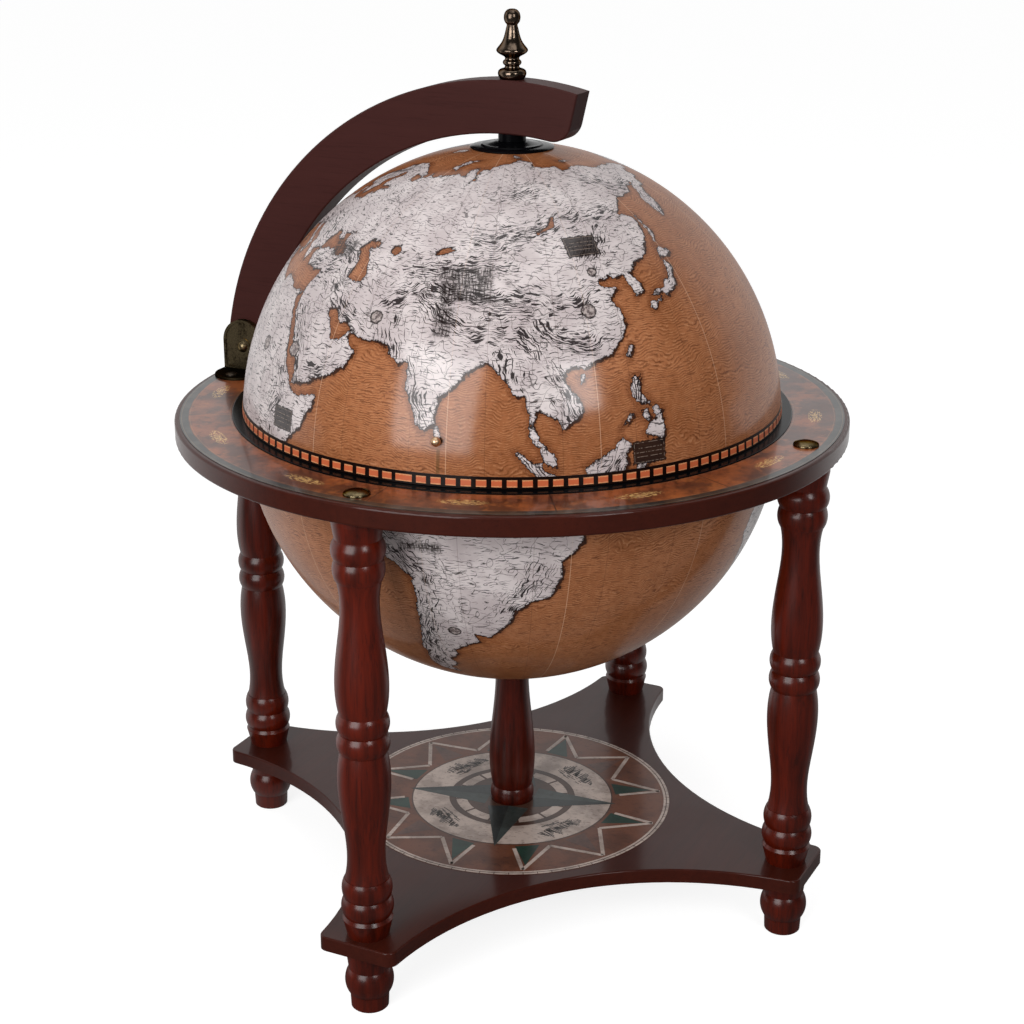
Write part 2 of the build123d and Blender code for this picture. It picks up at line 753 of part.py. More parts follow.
finial_bead_bottom = finial_bottom + finial_base_height + finial_neck_height
finial_skirt_bottom = finial_bead_bottom + finial_bead_height + finial_neck_height
finial_top = finial_bottom + finial_height
finial_ball_z = finial_top - finial_ball_radius
ball_bottom = finial_ball_z - shell_depth(finial_ball_radius, finial_tip_neck_radius)
with BuildPart() as finial:
    with BuildSketch(Plane.XZ):
        with BuildLine():
            Polyline((0, finial_top), (0, finial_bottom), (finial_foot_radius, finial_bottom))
            ThreePointArc(
                (finial_foot_radius, finial_bottom),
                (finial_base_radius, finial_bottom + finial_base_bulge),
                (finial_neck_radius, finial_bottom + finial_base_height),
            )
            Line(
                (finial_neck_radius, finial_bottom + finial_base_height),
                (finial_neck_radius, finial_bead_bottom),
            )
            ThreePointArc(
                (finial_neck_radius, finial_bead_bottom),
                (finial_bead_radius, finial_bead_bottom + finial_bead_height / 2),
                (finial_neck_radius, finial_bead_bottom + finial_bead_height),
            )
            Line(
                (finial_neck_radius, finial_bead_bottom + finial_bead_height),
                (finial_neck_radius - finial_neck_inset, finial_skirt_bottom),
            )
            ThreePointArc(
                (finial_neck_radius - finial_neck_inset, finial_skirt_bottom),
                (finial_skirt_radius - finial_skirt_inset, finial_skirt_bottom + finial_skirt_lip),
                (finial_skirt_radius, finial_skirt_bottom + finial_skirt_edge),
            )
            Spline(
                (finial_skirt_radius, finial_skirt_bottom + finial_skirt_edge),
                (finial_waist_radius, finial_skirt_bottom + finial_waist_height),
                (finial_tip_neck_radius, ball_bottom),
            )
            ThreePointArc(
                (finial_tip_neck_radius, ball_bottom), (finial_ball_radius, finial_ball_z), (0, finial_top)
            )
        make_face()
    revolve(axis=Axis.Z)
    with BuildSketch(Plane.XY.offset(finial_bottom)):
        Circle(rod_radius + bolt_clearance)
    extrude(amount=rod_in_finial + bolt_clearance, mode=Mode.SUBTRACT)
finish(finial.part, "finial")

# ---- Lid ---------------------------------------------------------------------------------------------

knob_lift = asin(knob_height / globe_radius)
knob_radius_at_axis = cos(knob_lift)
knob_out = Vector(*around(knob_azimuth, knob_radius_at_axis), sin(knob_lift))
knob_side = Vector(*around(knob_azimuth + 90, 1), 0)
knob_seat = Vector(0, 0, globe_z) + knob_out * globe_radius
knob_plane = Plane(origin=knob_seat, x_dir=knob_side, z_dir=knob_out)
knob_section = Plane(origin=knob_seat, x_dir=knob_side, z_dir=knob_side.cross(knob_out))
knob_axis = Axis(knob_seat, knob_out)

with BuildPart() as upper_globe:
    with BuildSketch(Plane.XZ):
        with BuildLine():
            shell_profile(lid_bottom, spigot_radius + spigot_gap, 1)
        make_face()
    revolve(axis=Axis.Z)
    with BuildSketch(knob_plane.offset(-2 * globe_wall)):
        Circle(knob_shank_radius + bolt_clearance)
    extrude(amount=4 * globe_wall, mode=Mode.SUBTRACT)
finish(upper_globe.part, "upper_globe")

band_top = lid_bottom + band_height
band_middle = lid_bottom + band_height / 2
band_radius = globe_radius + band_thickness
with BuildPart() as equator_band:
    with BuildSketch(Plane.XZ):
        with BuildLine():
            ThreePointArc(
                (shell_radius(band_radius, lid_bottom), lid_bottom),
                (shell_radius(band_radius, band_middle), band_middle),
                (shell_radius(band_radius, band_top), band_top),
            )
            Line(
                (shell_radius(band_radius, band_top), band_top),
                (shell_radius(globe_radius, band_top), band_top),
            )
            ThreePointArc(
                (shell_radius(globe_radius, band_top), band_top),
                (shell_radius(globe_radius, band_middle), band_middle),
                (shell_radius(globe_radius, lid_bottom), lid_bottom),
            )
            Line(
                (shell_radius(globe_radius, lid_bottom), lid_bottom),
                (shell_radius(band_radius, lid_bottom), lid_bottom),
            )
        make_face()
    revolve(axis=Axis.Z)
finish(equator_band.part, "equator_band")

liner_top = lid_bottom + liner_height
liner_middle = lid_bottom + liner_height / 2
liner_inner_radius = shell_radius(globe_inner_radius, liner_top) - liner_width
with BuildPart() as lid_liner:
    with BuildSketch(Plane.XZ):
        with BuildLine():
            ThreePointArc(
                (shell_radius(globe_inner_radius, lid_bottom), lid_bottom),
                (shell_radius(globe_inner_radius, liner_middle), liner_middle),
                (shell_radius(globe_inner_radius, liner_top), liner_top),
            )
            Polyline(
                (shell_radius(globe_inner_radius, liner_top), liner_top),
                (liner_inner_radius + liner_width / 2, liner_top),
                (liner_inner_radius, liner_middle),
                (liner_inner_radius, lid_bottom),
                (shell_radius(globe_inner_radius, lid_bottom), lid_bottom),
            )
        make_face()
    revolve(axis=Axis.Z)
finish(lid_liner.part, "lid_liner")

disc_edge_z = globe_z + shell_depth(globe_radius, disc_radius)
spigot_seat_z = globe_z + shell_depth(globe_radius, spigot_radius)
with BuildPart() as pole_bush:
    with BuildSketch(Plane.XZ):
        with BuildLine():
            middle_radius = (disc_radius + spigot_radius) / 2
            ThreePointArc(
                (disc_radius, disc_edge_z),
                (middle_radius, globe_z + shell_depth(globe_radius, middle_radius)),
                (spigot_radius, spigot_seat_z),
            )
            Polyline(
                (spigot_radius, spigot_seat_z),
                (spigot_radius, clamp_nut_bottom),
                (rod_hole_radius, clamp_nut_bottom),
                (rod_hole_radius, bush_top),
                (disc_boss_radius, bush_top),
            )
            ThreePointArc(
                (disc_boss_radius, bush_top),
                (disc_boss_radius + disc_flare_reach, disc_edge_z + disc_edge + disc_flare_rise),
                (disc_radius, disc_edge_z + disc_edge),
            )
            Line((disc_radius, disc_edge_z + disc_edge), (disc_radius, disc_edge_z))
        make_face()
    revolve(axis=Axis.Z)
finish(pole_bush.part, "pole_bush")

with BuildPart() as clamp_nut:
    with BuildSketch(Plane.XY.offset(clamp_nut_bottom)):
        RegularPolygon(clamp_nut_radius, 6)
        Circle(spigot_radius + spigot_gap, mode=Mode.SUBTRACT)
    extrude(amount=clamp_nut_height)
finish(clamp_nut.part, "clamp_nut")

knob_ball_rise = knob_reach - knob_ball_radius
knob_neck_top = knob_ball_rise - shell_depth(knob_ball_radius, knob_neck_radius)
knob_nut_outer = -globe_wall
with BuildPart() as lid_knob:
    with BuildSketch(knob_section):
        with BuildLine():
            Polyline(
                (0, knob_reach),
                (0, knob_nut_outer - knob_nut_height - knob_tail),
                (knob_shank_radius, knob_nut_outer - knob_nut_height - knob_tail),
                (knob_shank_radius, knob_collar_gap),
                (knob_neck_radius, knob_collar_gap),
                (knob_neck_radius, knob_neck_top),
            )
            ThreePointArc(
                (knob_neck_radius, knob_neck_top), (knob_ball_radius, knob_ball_rise), (0, knob_reach)
            )
        make_face()
    revolve(axis=knob_axis)
finish(lid_knob.part, "lid_knob")

knob_nut_seat = globe_radius - shell_depth(globe_inner_radius, knob_nut_radius)
with BuildPart() as knob_nut:
    with BuildSketch(knob_plane.offset(-knob_nut_seat)):
        RegularPolygon(knob_nut_radius, 6)
        Circle(knob_shank_radius + bolt_clearance, mode=Mode.SUBTRACT)
    extrude(amount=-knob_nut_height)
finish(knob_nut.part, "knob_nut")
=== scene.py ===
"""Looks of a tabletop globe bar: a hinged globe on a ring table with turned legs and a star shelf."""

import json
import logging
import math
from dataclasses import dataclass, field
from enum import Enum
from typing import Any, Iterable, Sequence

import bpy
import numpy as np
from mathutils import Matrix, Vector, kdtree

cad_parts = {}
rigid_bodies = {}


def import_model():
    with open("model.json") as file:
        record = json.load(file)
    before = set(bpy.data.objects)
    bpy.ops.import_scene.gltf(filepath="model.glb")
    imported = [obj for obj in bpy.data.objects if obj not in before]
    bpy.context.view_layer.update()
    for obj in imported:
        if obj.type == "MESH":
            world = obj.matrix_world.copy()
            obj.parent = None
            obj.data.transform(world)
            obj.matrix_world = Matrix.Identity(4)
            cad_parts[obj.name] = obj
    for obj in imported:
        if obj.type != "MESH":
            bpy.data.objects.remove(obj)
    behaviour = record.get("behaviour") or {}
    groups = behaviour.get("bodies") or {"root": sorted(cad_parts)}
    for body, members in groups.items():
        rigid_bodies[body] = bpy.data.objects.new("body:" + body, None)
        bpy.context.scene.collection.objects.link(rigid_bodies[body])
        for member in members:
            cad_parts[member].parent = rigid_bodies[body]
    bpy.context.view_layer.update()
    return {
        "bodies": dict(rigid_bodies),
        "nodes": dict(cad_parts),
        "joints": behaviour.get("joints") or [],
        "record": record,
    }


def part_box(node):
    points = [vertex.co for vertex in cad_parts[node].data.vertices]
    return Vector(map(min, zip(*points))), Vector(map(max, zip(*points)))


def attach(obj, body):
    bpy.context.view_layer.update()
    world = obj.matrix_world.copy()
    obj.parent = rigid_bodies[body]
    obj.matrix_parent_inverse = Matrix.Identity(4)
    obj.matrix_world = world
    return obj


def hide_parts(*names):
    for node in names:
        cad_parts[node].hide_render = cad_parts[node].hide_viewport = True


LOG = logging.getLogger("globe_bar")
MM = 0.001  # metres in a millimetre
PER_METRE = 1000.0  # millimetres in a metre

GLOBE_RADIUS = 165.0
GLOBE_WALL = 2.5
GLOBE_Z = 313.8  # height of the globe's centre
GLOBE_DEGREE = GLOBE_RADIUS * math.pi / 180.0  # length of a degree of latitude
RING_TOP = 318.6
LID_BOTTOM = 319.9
BACKDROP_SIDE = (0.82, 0.572, 0.0)  # towards the bright half of the surroundings
WHITE = (1.0, 1.0, 1.0, 1.0)

Colour = tuple[float, float, float]
Point = tuple[float, float]
Socket = Any
Material = bpy.types.Material
Mesh = bpy.types.Mesh
NodeTree = bpy.types.NodeTree
Object = bpy.types.Object


def srgb(red: float, green: float, blue: float) -> tuple[float, float, float, float]:
    """Turn a colour written in 0 to 255 steps into linear light.

    Args:
        red: Red step.
        green: Green step.
        blue: Blue step.

    Returns:
        The linear colour, with an alpha of 1.
    """
    steps = [value / 255.0 for value in (red, green, blue)]
    linear = [s / 12.92 if s <= 0.04045 else ((s + 0.055) / 1.055) ** 2.4 for s in steps]
    return (linear[0], linear[1], linear[2], 1.0)


class Graph:
    """Adds shader nodes to one tree and links them."""

    def __init__(self, tree: NodeTree) -> None:
        """Keep the tree.

        Args:
            tree: The node tree that gets the nodes.
        """
        self.tree = tree

    def put(self, socket: Socket, value: Any) -> None:
        """Link a socket to a value's socket, or write the value on it.

        Args:
            socket: The input that takes the value.
            value: Another node's output, or a plain value.
        """
        if isinstance(value, bpy.types.NodeSocket):
            self.tree.links.new(value, socket)
        else:
            socket.default_value = value

    def feed(self, node: Any, **values: Any) -> None:
        """Put values on a node's inputs.

        Args:
            node: The node.
            values: Sockets or plain values by input name, with underscores for spaces.
        """
        for name, value in values.items():
            self.put(node.inputs[name.replace("_", " ")], value)

    def add(self, kind: str, inputs: dict[Any, Any] | None = None, **settings: Any) -> Any:
        """Add one node.

        Args:
            kind: The node's type name.
            inputs: Values or sockets by input name or number.
            settings: Attributes of the node itself.

        Returns:
            The new node.
        """
        node = self.tree.nodes.new(kind)
        for name, value in settings.items():
            setattr(node, name, value)
        for key, value in (inputs or {}).items():
            self.put(node.inputs[key], value)
        return node

    def math(self, operation: str, a: Any, b: Any = 0.0, c: Any = 0.0) -> Socket:
        """Return the result of a Math node on up to three values."""
        return self.add("ShaderNodeMath", {0: a, 1: b, 2: c}, operation=operation).outputs[0]

    def plus(self, a: Any, b: Any) -> Socket:
        """Return the sum of two values."""
        return self.math("ADD", a, b)

    def minus(self, a: Any, b: Any) -> Socket:
        """Return the first value less the second."""
        return self.math("SUBTRACT", a, b)

    def times(self, product: Any, *factors: Any) -> Socket:
        """Return the product of two or more values.

        Args:
            product: The first value.
            factors: The other values.

        Returns:
            The product.
        """
        for factor in factors:
            product = self.math("MULTIPLY", product, factor)
        return product

    def linear(self, value: Any, slope: Any, start: Any) -> Socket:
        """Return a value times a slope, plus a start."""
        return self.math("MULTIPLY_ADD", value, slope, start)

    def larger(self, a: Any, b: Any) -> Socket:
        """Return the larger of two values."""
        return self.math("MAXIMUM", a, b)

    def apart(self, a: Any, b: Any) -> Socket:
        """Return how far two values are apart."""
        return self.math("ABSOLUTE", self.minus(a, b))

    def vector(self, operation: str, a: Any, b: Any = (0.0, 0.0, 0.0)) -> Socket:
        """Return the vector result of a Vector Math node."""
        return self.add("ShaderNodeVectorMath", {0: a, 1: b}, operation=operation).outputs["Vector"]

    def dot(self, a: Any, b: Any) -> Socket:
        """Return the dot product of two vectors."""
        node = self.add("ShaderNodeVectorMath", {0: a, 1: b}, operation="DOT_PRODUCT")
        return node.outputs["Value"]

    def split(self, vector: Any) -> tuple[Socket, Socket, Socket]:
        """Return a vector's three numbers."""
        node = self.add("ShaderNodeSeparateXYZ", {0: vector})
        return node.outputs[0], node.outputs[1], node.outputs[2]

    def join(self, x: Any, y: Any, z: Any = 0.0) -> Socket:
        """Return a vector made of three numbers."""
        return self.add("ShaderNodeCombineXYZ", {0: x, 1: y, 2: z}).outputs[0]

    def scaled(self, vector: Any, scale: Sequence[float]) -> Socket:
        """Return a vector scaled along each axis."""
        return self.vector("MULTIPLY", vector, tuple(scale))

    def noise(self, vector: Any, scale: float, detail: float = 3.0, rough: float = 0.55) -> Socket:
        """Return a noise value from 0 to 1.

        Args:
            vector: Where the noise is read.
            scale: Its frequency.
            detail: How many finer layers it has.
            rough: How strong the finer layers are.

        Returns:
            The value socket.
        """
        inputs = {"Vector": vector, "Scale": scale, "Detail": detail, "Roughness": rough}
        return self.add("ShaderNodeTexNoise", inputs).outputs[0]

    def swing(self, vector: Any, scale: float, detail: float, rough: float) -> Socket:
        """Return a noise value from -0.5 to 0.5."""
        return self.minus(self.noise(vector, scale, detail, rough), 0.5)

    def cells(self, vector: Any, scale: float, feature: str = "DISTANCE_TO_EDGE") -> Socket:
        """Return the distance value of a Voronoi pattern."""
        node = self.add("ShaderNodeTexVoronoi", {"Vector": vector, "Scale": scale}, feature=feature)
        return node.outputs["Distance"]

    def ramp(self, value: Any, low: Any, high: Any, start: float = 0.0, end: float = 1.0) -> Socket:
        """Return a smooth step of a value.

        Args:
            value: The value that is read.
            low: Where the step begins.
            high: Where the step ends.
            start: The result below the step.
            end: The result above the step.

        Returns:
            The stepped value.
        """
        inputs = dict(enumerate((value, low, high, start, end)))
        return self.add("ShaderNodeMapRange", inputs, interpolation_type="SMOOTHSTEP").outputs[0]

    def below(self, value: Any, edge: float, soft: float) -> Socket:
        """Return 1 where a value lies under an edge, and 0 past its soft border."""
        return self.ramp(value, edge - soft / 2, edge + soft / 2, 1.0, 0.0)

    def mix(self, factor: Any, a: Any, b: Any, blend: str = "MIX") -> Socket:
        """Return a mix of two colours."""
        node = self.add("ShaderNodeMix", {0: factor, 6: a, 7: b}, data_type="RGBA", blend_type=blend)
        return node.outputs[2]

    def inked(self, base: Any, cover: Any, strength: float, ink: Colour) -> Socket:
        """Return a colour with ink laid on it, as strong as its cover says."""
        return self.mix(self.times(cover, strength), base, srgb(*ink))

    def near_line(self, value: Any, pitch: float, offset: float = 0.0) -> Socket:
        """Return how far a value is from the nearest multiple of a pitch, past an offset."""
        folded = self.math("FLOORED_MODULO", self.plus(value, offset + pitch / 2), pitch)
        return self.apart(folded, pitch / 2)

    def group(self, tree: NodeTree, **inputs: Any) -> Any:
        """Add a node group.

        Args:
            tree: The group's tree.
            inputs: Sockets or plain values by input name.

        Returns:
            The outputs of the new node.
        """
        node = self.add("ShaderNodeGroup", node_tree=tree)
        self.feed(node, **inputs)
        return node.outputs

    def place(self) -> Socket:
        """Return the object's own coordinates."""
        return self.add("ShaderNodeTexCoord").outputs["Object"]

    def carried(self, attribute: str) -> Socket:
        """Return a number that the mesh carries at each point."""
        return self.add("ShaderNodeAttribute", attribute_name=attribute).outputs["Fac"]


class Effects:
    """Node groups for the effects that several finishes share, each built once."""

    FIGURE_SCALE = (38.0, 38.0, 4.5)
    STREAK_SCALE = (260.0, 260.0, 11.0)
    PORE_SCALE = (900.0, 900.0, 45.0)
    PORE_INK = (28, 9, 6)

    def __init__(self) -> None:
        """Build the groups."""
        self.grain = self._grain()
        self.handling = self._handling()
        self.patina = self._patina()
        self.polar = self._polar()

    @staticmethod
    def open(name: str, inputs: dict[str, str], outputs: dict[str, str]) -> tuple[Graph, Any, Any]:
        """Make an empty shader node group.

        Args:
            name: The group's name.
            inputs: Socket kinds by input name.
            outputs: Socket kinds by output name.

        Returns:
            A graph on the group, what is given to it, and its output node.
        """
        tree = bpy.data.node_groups.new(name, "ShaderNodeTree")
        for side, sockets in (("INPUT", inputs), ("OUTPUT", outputs)):
            for label, kind in sockets.items():
                tree.interface.new_socket(label, in_out=side, socket_type=f"NodeSocket{kind}")
        graph = Graph(tree)
        return graph, graph.add("NodeGroupInput").outputs, graph.add("NodeGroupOutput")

    def _grain(self) -> NodeTree:
        """Build wood grain that runs along Z of the vector it is given.

        Returns:
            The group's tree.
        """
        graph, given, out = self.open(
            "wood_grain",
            {"Vector": "Vector", "Light": "Color", "Dark": "Color", "Figure": "Float"},
            {"Color": "Color", "Pores": "Float"},
        )
        figure = graph.noise(graph.scaled(given["Vector"], self.FIGURE_SCALE), 1.0, 4.0, 0.6)
        bent = graph.vector("ADD", given["Vector"], graph.join(graph.times(figure, 0.004), 0.0, 0.0))
        streaks = graph.noise(graph.scaled(bent, self.STREAK_SCALE), 1.0, 3.0, 0.65)
        fine = graph.noise(graph.scaled(bent, self.PORE_SCALE), 1.0, 2.0, 0.5)
        tone = graph.plus(graph.times(figure, 0.55), graph.times(streaks, 0.45))
        spread = graph.times(graph.minus(tone, 0.5), given["Figure"])
        factor = graph.ramp(graph.linear(spread, 2.4, 0.5), 0.0, 1.0)
        colour = graph.mix(factor, given["Dark"], given["Light"])
        pores = graph.ramp(fine, 0.30, 0.46, 1.0, 0.0)
        shade = graph.times(pores, given["Figure"])
        graph.feed(out, Color=graph.inked(colour, shade, 0.45, self.PORE_INK), Pores=pores)
        return graph.tree

    def _handling(self) -> NodeTree:
        """Build the small unevenness that handling and dust leave in a gloss.

        Returns:
            The group's tree.
        """
        graph, given, out = self.open(
            "handling",
            {"Vector": "Vector", "Roughness": "Float", "Amount": "Float"},
            {"Roughness": "Float", "Height": "Float"},
        )
        cloud = graph.noise(given["Vector"], 22.0, 3.0, 0.6)
        specks = graph.noise(given["Vector"], 900.0, 1.0, 0.5)
        lift = graph.times(graph.ramp(cloud, 0.42, 0.72), given["Amount"], 0.5)
        dusty = graph.times(graph.ramp(specks, 0.66, 0.74), given["Amount"], 0.35)
        total = graph.plus(given["Roughness"], graph.plus(lift, dusty))
        graph.feed(out, Roughness=total, Height=graph.noise(given["Vector"], 60.0, 2.0, 0.5))
        return graph.tree

    def _patina(self) -> NodeTree:
        """Build the dark stain that aged brass keeps in patches.

        Returns:
            The group's tree.
        """
        graph, given, out = self.open(
            "patina",
            {"Vector": "Vector", "Bright": "Color", "Dark": "Color", "Cover": "Float"},
            {"Color": "Color", "Stain": "Float"},
        )
        cloud = graph.noise(given["Vector"], 130.0, 5.0, 0.65)
        specks = graph.noise(given["Vector"], 700.0, 2.0, 0.6)
        both = graph.plus(graph.times(cloud, 0.7), graph.times(specks, 0.3))
        stain = graph.ramp(graph.plus(both, given["Cover"]), 0.42, 0.72)
        graph.feed(out, Color=graph.mix(stain, given["Bright"], given["Dark"]), Stain=stain)
        return graph.tree

    def _polar(self) -> NodeTree:
        """Build the distance from the vertical axis and the azimuth, in millimetres and degrees.

        Returns:
            The group's tree.
        """
        graph, given, out = self.open(
            "polar", {"Vector": "Vector"}, {"Radius": "Float", "Azimuth": "Float"}
        )
        x, y, _ = graph.split(given["Vector"])
        reach = graph.math("SQRT", graph.plus(graph.times(x, x), graph.times(y, y)))
        azimuth = graph.math("DEGREES", graph.math("ARCTAN2", y, x))
        graph.feed(out, Radius=graph.times(reach, PER_METRE), Azimuth=azimuth)
        return graph.tree


class Coating:
    """A material in the making: its graph, its shader and the object's coordinates."""

    def __init__(self, name: str, effects: Effects | None) -> None:
        """Start a material with one Principled shader.

        Args:
            name: The material's name.
            effects: The shared node groups.
        """
        self.material = bpy.data.materials.new(name)
        self.material.use_nodes = True
        self.graph = Graph(self.material.node_tree)
        self.shader = next(n for n in self.graph.tree.nodes if n.type == "BSDF_PRINCIPLED")
        self.place = self.graph.place()
        self.effects = effects

    def set(self, **values: Any) -> None:
        """Put sockets or plain values on the shader's inputs."""
        self.graph.feed(self.shader, **values)

    def worn(self, roughness: float, amount: float) -> Any:
        """Return the roughness and height of a gloss that has been handled."""
        handling = self.effects.handling
        return self.graph.group(handling, Vector=self.place, Roughness=roughness, Amount=amount)

    def bump(self, height: Any, strength: float, distance: float) -> None:
        """Feed a Bump node into the shader's normal.

        Args:
            height: The height socket.
            strength: The bump's strength.
            distance: The height of a full step, in metres.
        """
        inputs = {"Height": height, "Strength": strength, "Distance": distance}
        self.set(Normal=self.graph.add("ShaderNodeBump", inputs).outputs[0])

    def varnish(self, weight: float, rim: float) -> None:
        """Add a clear coat that thins where the surface turns away.

        Args:
            weight: The coat's weight face on.
            rim: The share of it that is left edge on.
        """
        facing = self.graph.add("ShaderNodeLayerWeight", {"Blend": 0.5}).outputs["Facing"]
        self.set(Coat_Weight=self.graph.ramp(facing, 0.35, 0.95, weight, weight * rim))


@dataclass(frozen=True)
class Finish:
    """A finish that can be put on a piece."""

    name: str

    def build(self, effects: Effects | None = None) -> Material:
        """Build the material.

        Args:
            effects: The shared node groups.

        Returns:
            The material.
        """
        coating = Coating(self.name, effects)
        self.paint(coating)
        return coating.material

    def paint(self, coating: Coating) -> None:
        """Add the finish's own nodes.

        Args:
            coating: The material in the making.
        """
        raise NotImplementedError


class Grain(Enum):
    """Which way a board's or a turning's grain runs."""

    UPRIGHT = (0.0, 0.0, 0.0)
    ALONG_X = (0.0, math.pi / 2, 0.0)
    ALONG_Y = (math.pi / 2, 0.0, 0.0)


@dataclass(frozen=True)
class StainedWood(Finish):
    """Wood stained red brown under clear lacquer."""

    light: Colour
    dark: Colour
    figure: float
    roughness: float
    coat: float
    coat_roughness: float
    grain: Grain = Grain.UPRIGHT
    specular: float = 0.06
    rim: float = 0.25
    sawn_way: tuple[float, float, float] = (0.0, 0.0, 0.0)
    sawn_reach: float = 1000.0

    def paint(self, coating: Coating) -> None:
        """Paint the coating from the grain and handling groups, dull and dark on a sawn end.

        Args:
            coating: The material in the making.
        """
        graph, place = coating.graph, coating.place
        dark = srgb(*self.dark)
        turned = graph.add("ShaderNodeMapping", {"Vector": place, "Rotation": self.grain.value}).outputs[0]
        wood = graph.group(
            coating.effects.grain, Vector=turned, Light=srgb(*self.light), Dark=dark, Figure=self.figure
        )
        worn = coating.worn(self.roughness, 0.12)
        # The arm's end face is made darker, duller and inked darker than its sides.
        past = graph.dot(place, self.sawn_way)
        sawn = graph.ramp(past, (self.sawn_reach - 0.8) * MM, (self.sawn_reach - 0.1) * MM)
        darker_end = graph.mix(graph.times(sawn, 0.7), wood["Color"], dark)
        coating.set(
            Base_Color=graph.inked(darker_end, sawn, 0.35, (20, 8, 8)),
            Roughness=graph.larger(worn["Roughness"], sawn), Specular_IOR_Level=self.specular,
            Coat_Roughness=self.coat_roughness,
        )
        coating.varnish(self.coat, self.rim)
        coating.bump(graph.linear(wood["Pores"], -0.5, worn["Height"]), 0.25, 0.00012)


@dataclass(frozen=True)
class AgedBrass(Finish):
    """Brass with a dark patina in patches."""

    bright: Colour
    dark: Colour
    cover: float
    roughness: float
    stained_below: float = 0.0
    edge: Colour = (120, 100, 78)

    def paint(self, coating: Coating) -> None:
        """Paint the coating from the patina group, with a solid stain under a height.

        Args:
            coating: The material in the making.
        """
        graph, place = coating.graph, coating.place
        _, _, height = graph.split(place)
        edge = self.stained_below * MM
        cover = graph.ramp(height, edge, edge + MM, self.cover + 0.3, self.cover)
        worn = graph.group(
            coating.effects.patina, Vector=place, Bright=srgb(*self.bright),
            Dark=srgb(*self.dark), Cover=cover,
        )
        coating.set(
            Base_Color=worn["Color"], Metallic=1.0, Specular_Tint=srgb(*self.edge),
            Roughness=graph.linear(worn["Stain"], 0.22, self.roughness),
        )
        coating.bump(worn["Stain"], 0.25, 0.00015)


@dataclass(frozen=True)
class Gloss(Finish):
    """Plain moulded plastic or bright metal with faint handling marks."""

    colour: Colour
    roughness: float
    metallic: float = 0.0
    marks: float = 0.1
    coat: float = 0.0
    specular: float = 0.25

    def paint(self, coating: Coating) -> None:
        """Paint the coating from the handling group.

        Args:
            coating: The material in the making.
        """
        graph, place = coating.graph, coating.place
        worn = coating.worn(self.roughness, self.marks)
        cloud = graph.noise(place, 90.0, 3.0, 0.6)
        shade = tuple(channel * 0.78 for channel in srgb(*self.colour)[:3]) + (1.0,)
        coating.set(
            Base_Color=graph.mix(cloud, shade, srgb(*self.colour)), Roughness=worn["Roughness"],
            Metallic=self.metallic, Specular_IOR_Level=self.specular, Coat_Weight=self.coat,
            Coat_Roughness=0.06,
        )
        coating.bump(worn["Height"], 0.12, 0.0002)


@dataclass(frozen=True)
class BandPaper(Finish):
    """Blocks printed in one colour with a pale line along their upper and lower edges."""

    body: Colour
    edge: Colour
    middle: float
    inside: float

    def paint(self, coating: Coating) -> None:
        """Paint the coating from the height on the object.

        Args:
            coating: The material in the making.
        """
        graph, place = coating.graph, coating.place
        _, _, height = graph.split(graph.scaled(place, (PER_METRE,) * 3))
        mottle = graph.times(graph.swing(place, 900.0, 2.0, 0.6), 1.2)
        away = graph.plus(graph.apart(height, self.middle), mottle)
        line = graph.ramp(away, self.inside, self.inside + 0.4)
        coating.set(
            Base_Color=graph.mix(line, srgb(*self.body), srgb(*self.edge)), Roughness=0.34,
            Specular_IOR_Level=0.2, Coat_Weight=0.3, Coat_Roughness=0.08,
        )


@dataclass(frozen=True)
class PrintedPaper(Finish):
    """Paper printed in the colours that each face carries, aged and varnished."""

    def paint(self, coating: Coating) -> None:
        """Paint the coating, which reads the attribute named ink.

        Args:
            coating: The material in the making.
        """
        graph, place = coating.graph, coating.place
        ink = graph.add("ShaderNodeAttribute", attribute_name="ink").outputs["Color"]
        cloud = graph.noise(place, 55.0, 5.0, 0.62)
        fibre = graph.noise(graph.scaled(place, (1500.0, 500.0, 500.0)), 1.0, 2.0, 0.6)
        flecks = graph.noise(graph.scaled(place, (520.0, 240.0, 240.0)), 1.0, 3.0, 0.65)
        aged = graph.mix(graph.ramp(cloud, 0.40, 0.62, 0.0, 0.42), ink, srgb(96, 76, 66), "MULTIPLY")
        aged = graph.mix(graph.ramp(flecks, 0.54, 0.68, 0.0, 0.4), aged, srgb(110, 84, 76), "MULTIPLY")
        smooth = coating.worn(0.34, 0.12)
        coating.set(
            Base_Color=graph.mix(graph.ramp(fibre, 0.55, 0.8, 0.0, 0.22), aged, srgb(88, 70, 62)),
            Roughness=smooth["Roughness"], Specular_IOR_Level=0.15, Coat_Weight=0.2,
            Coat_Roughness=0.13,
        )
        coating.bump(fibre, 0.08, 0.0001)


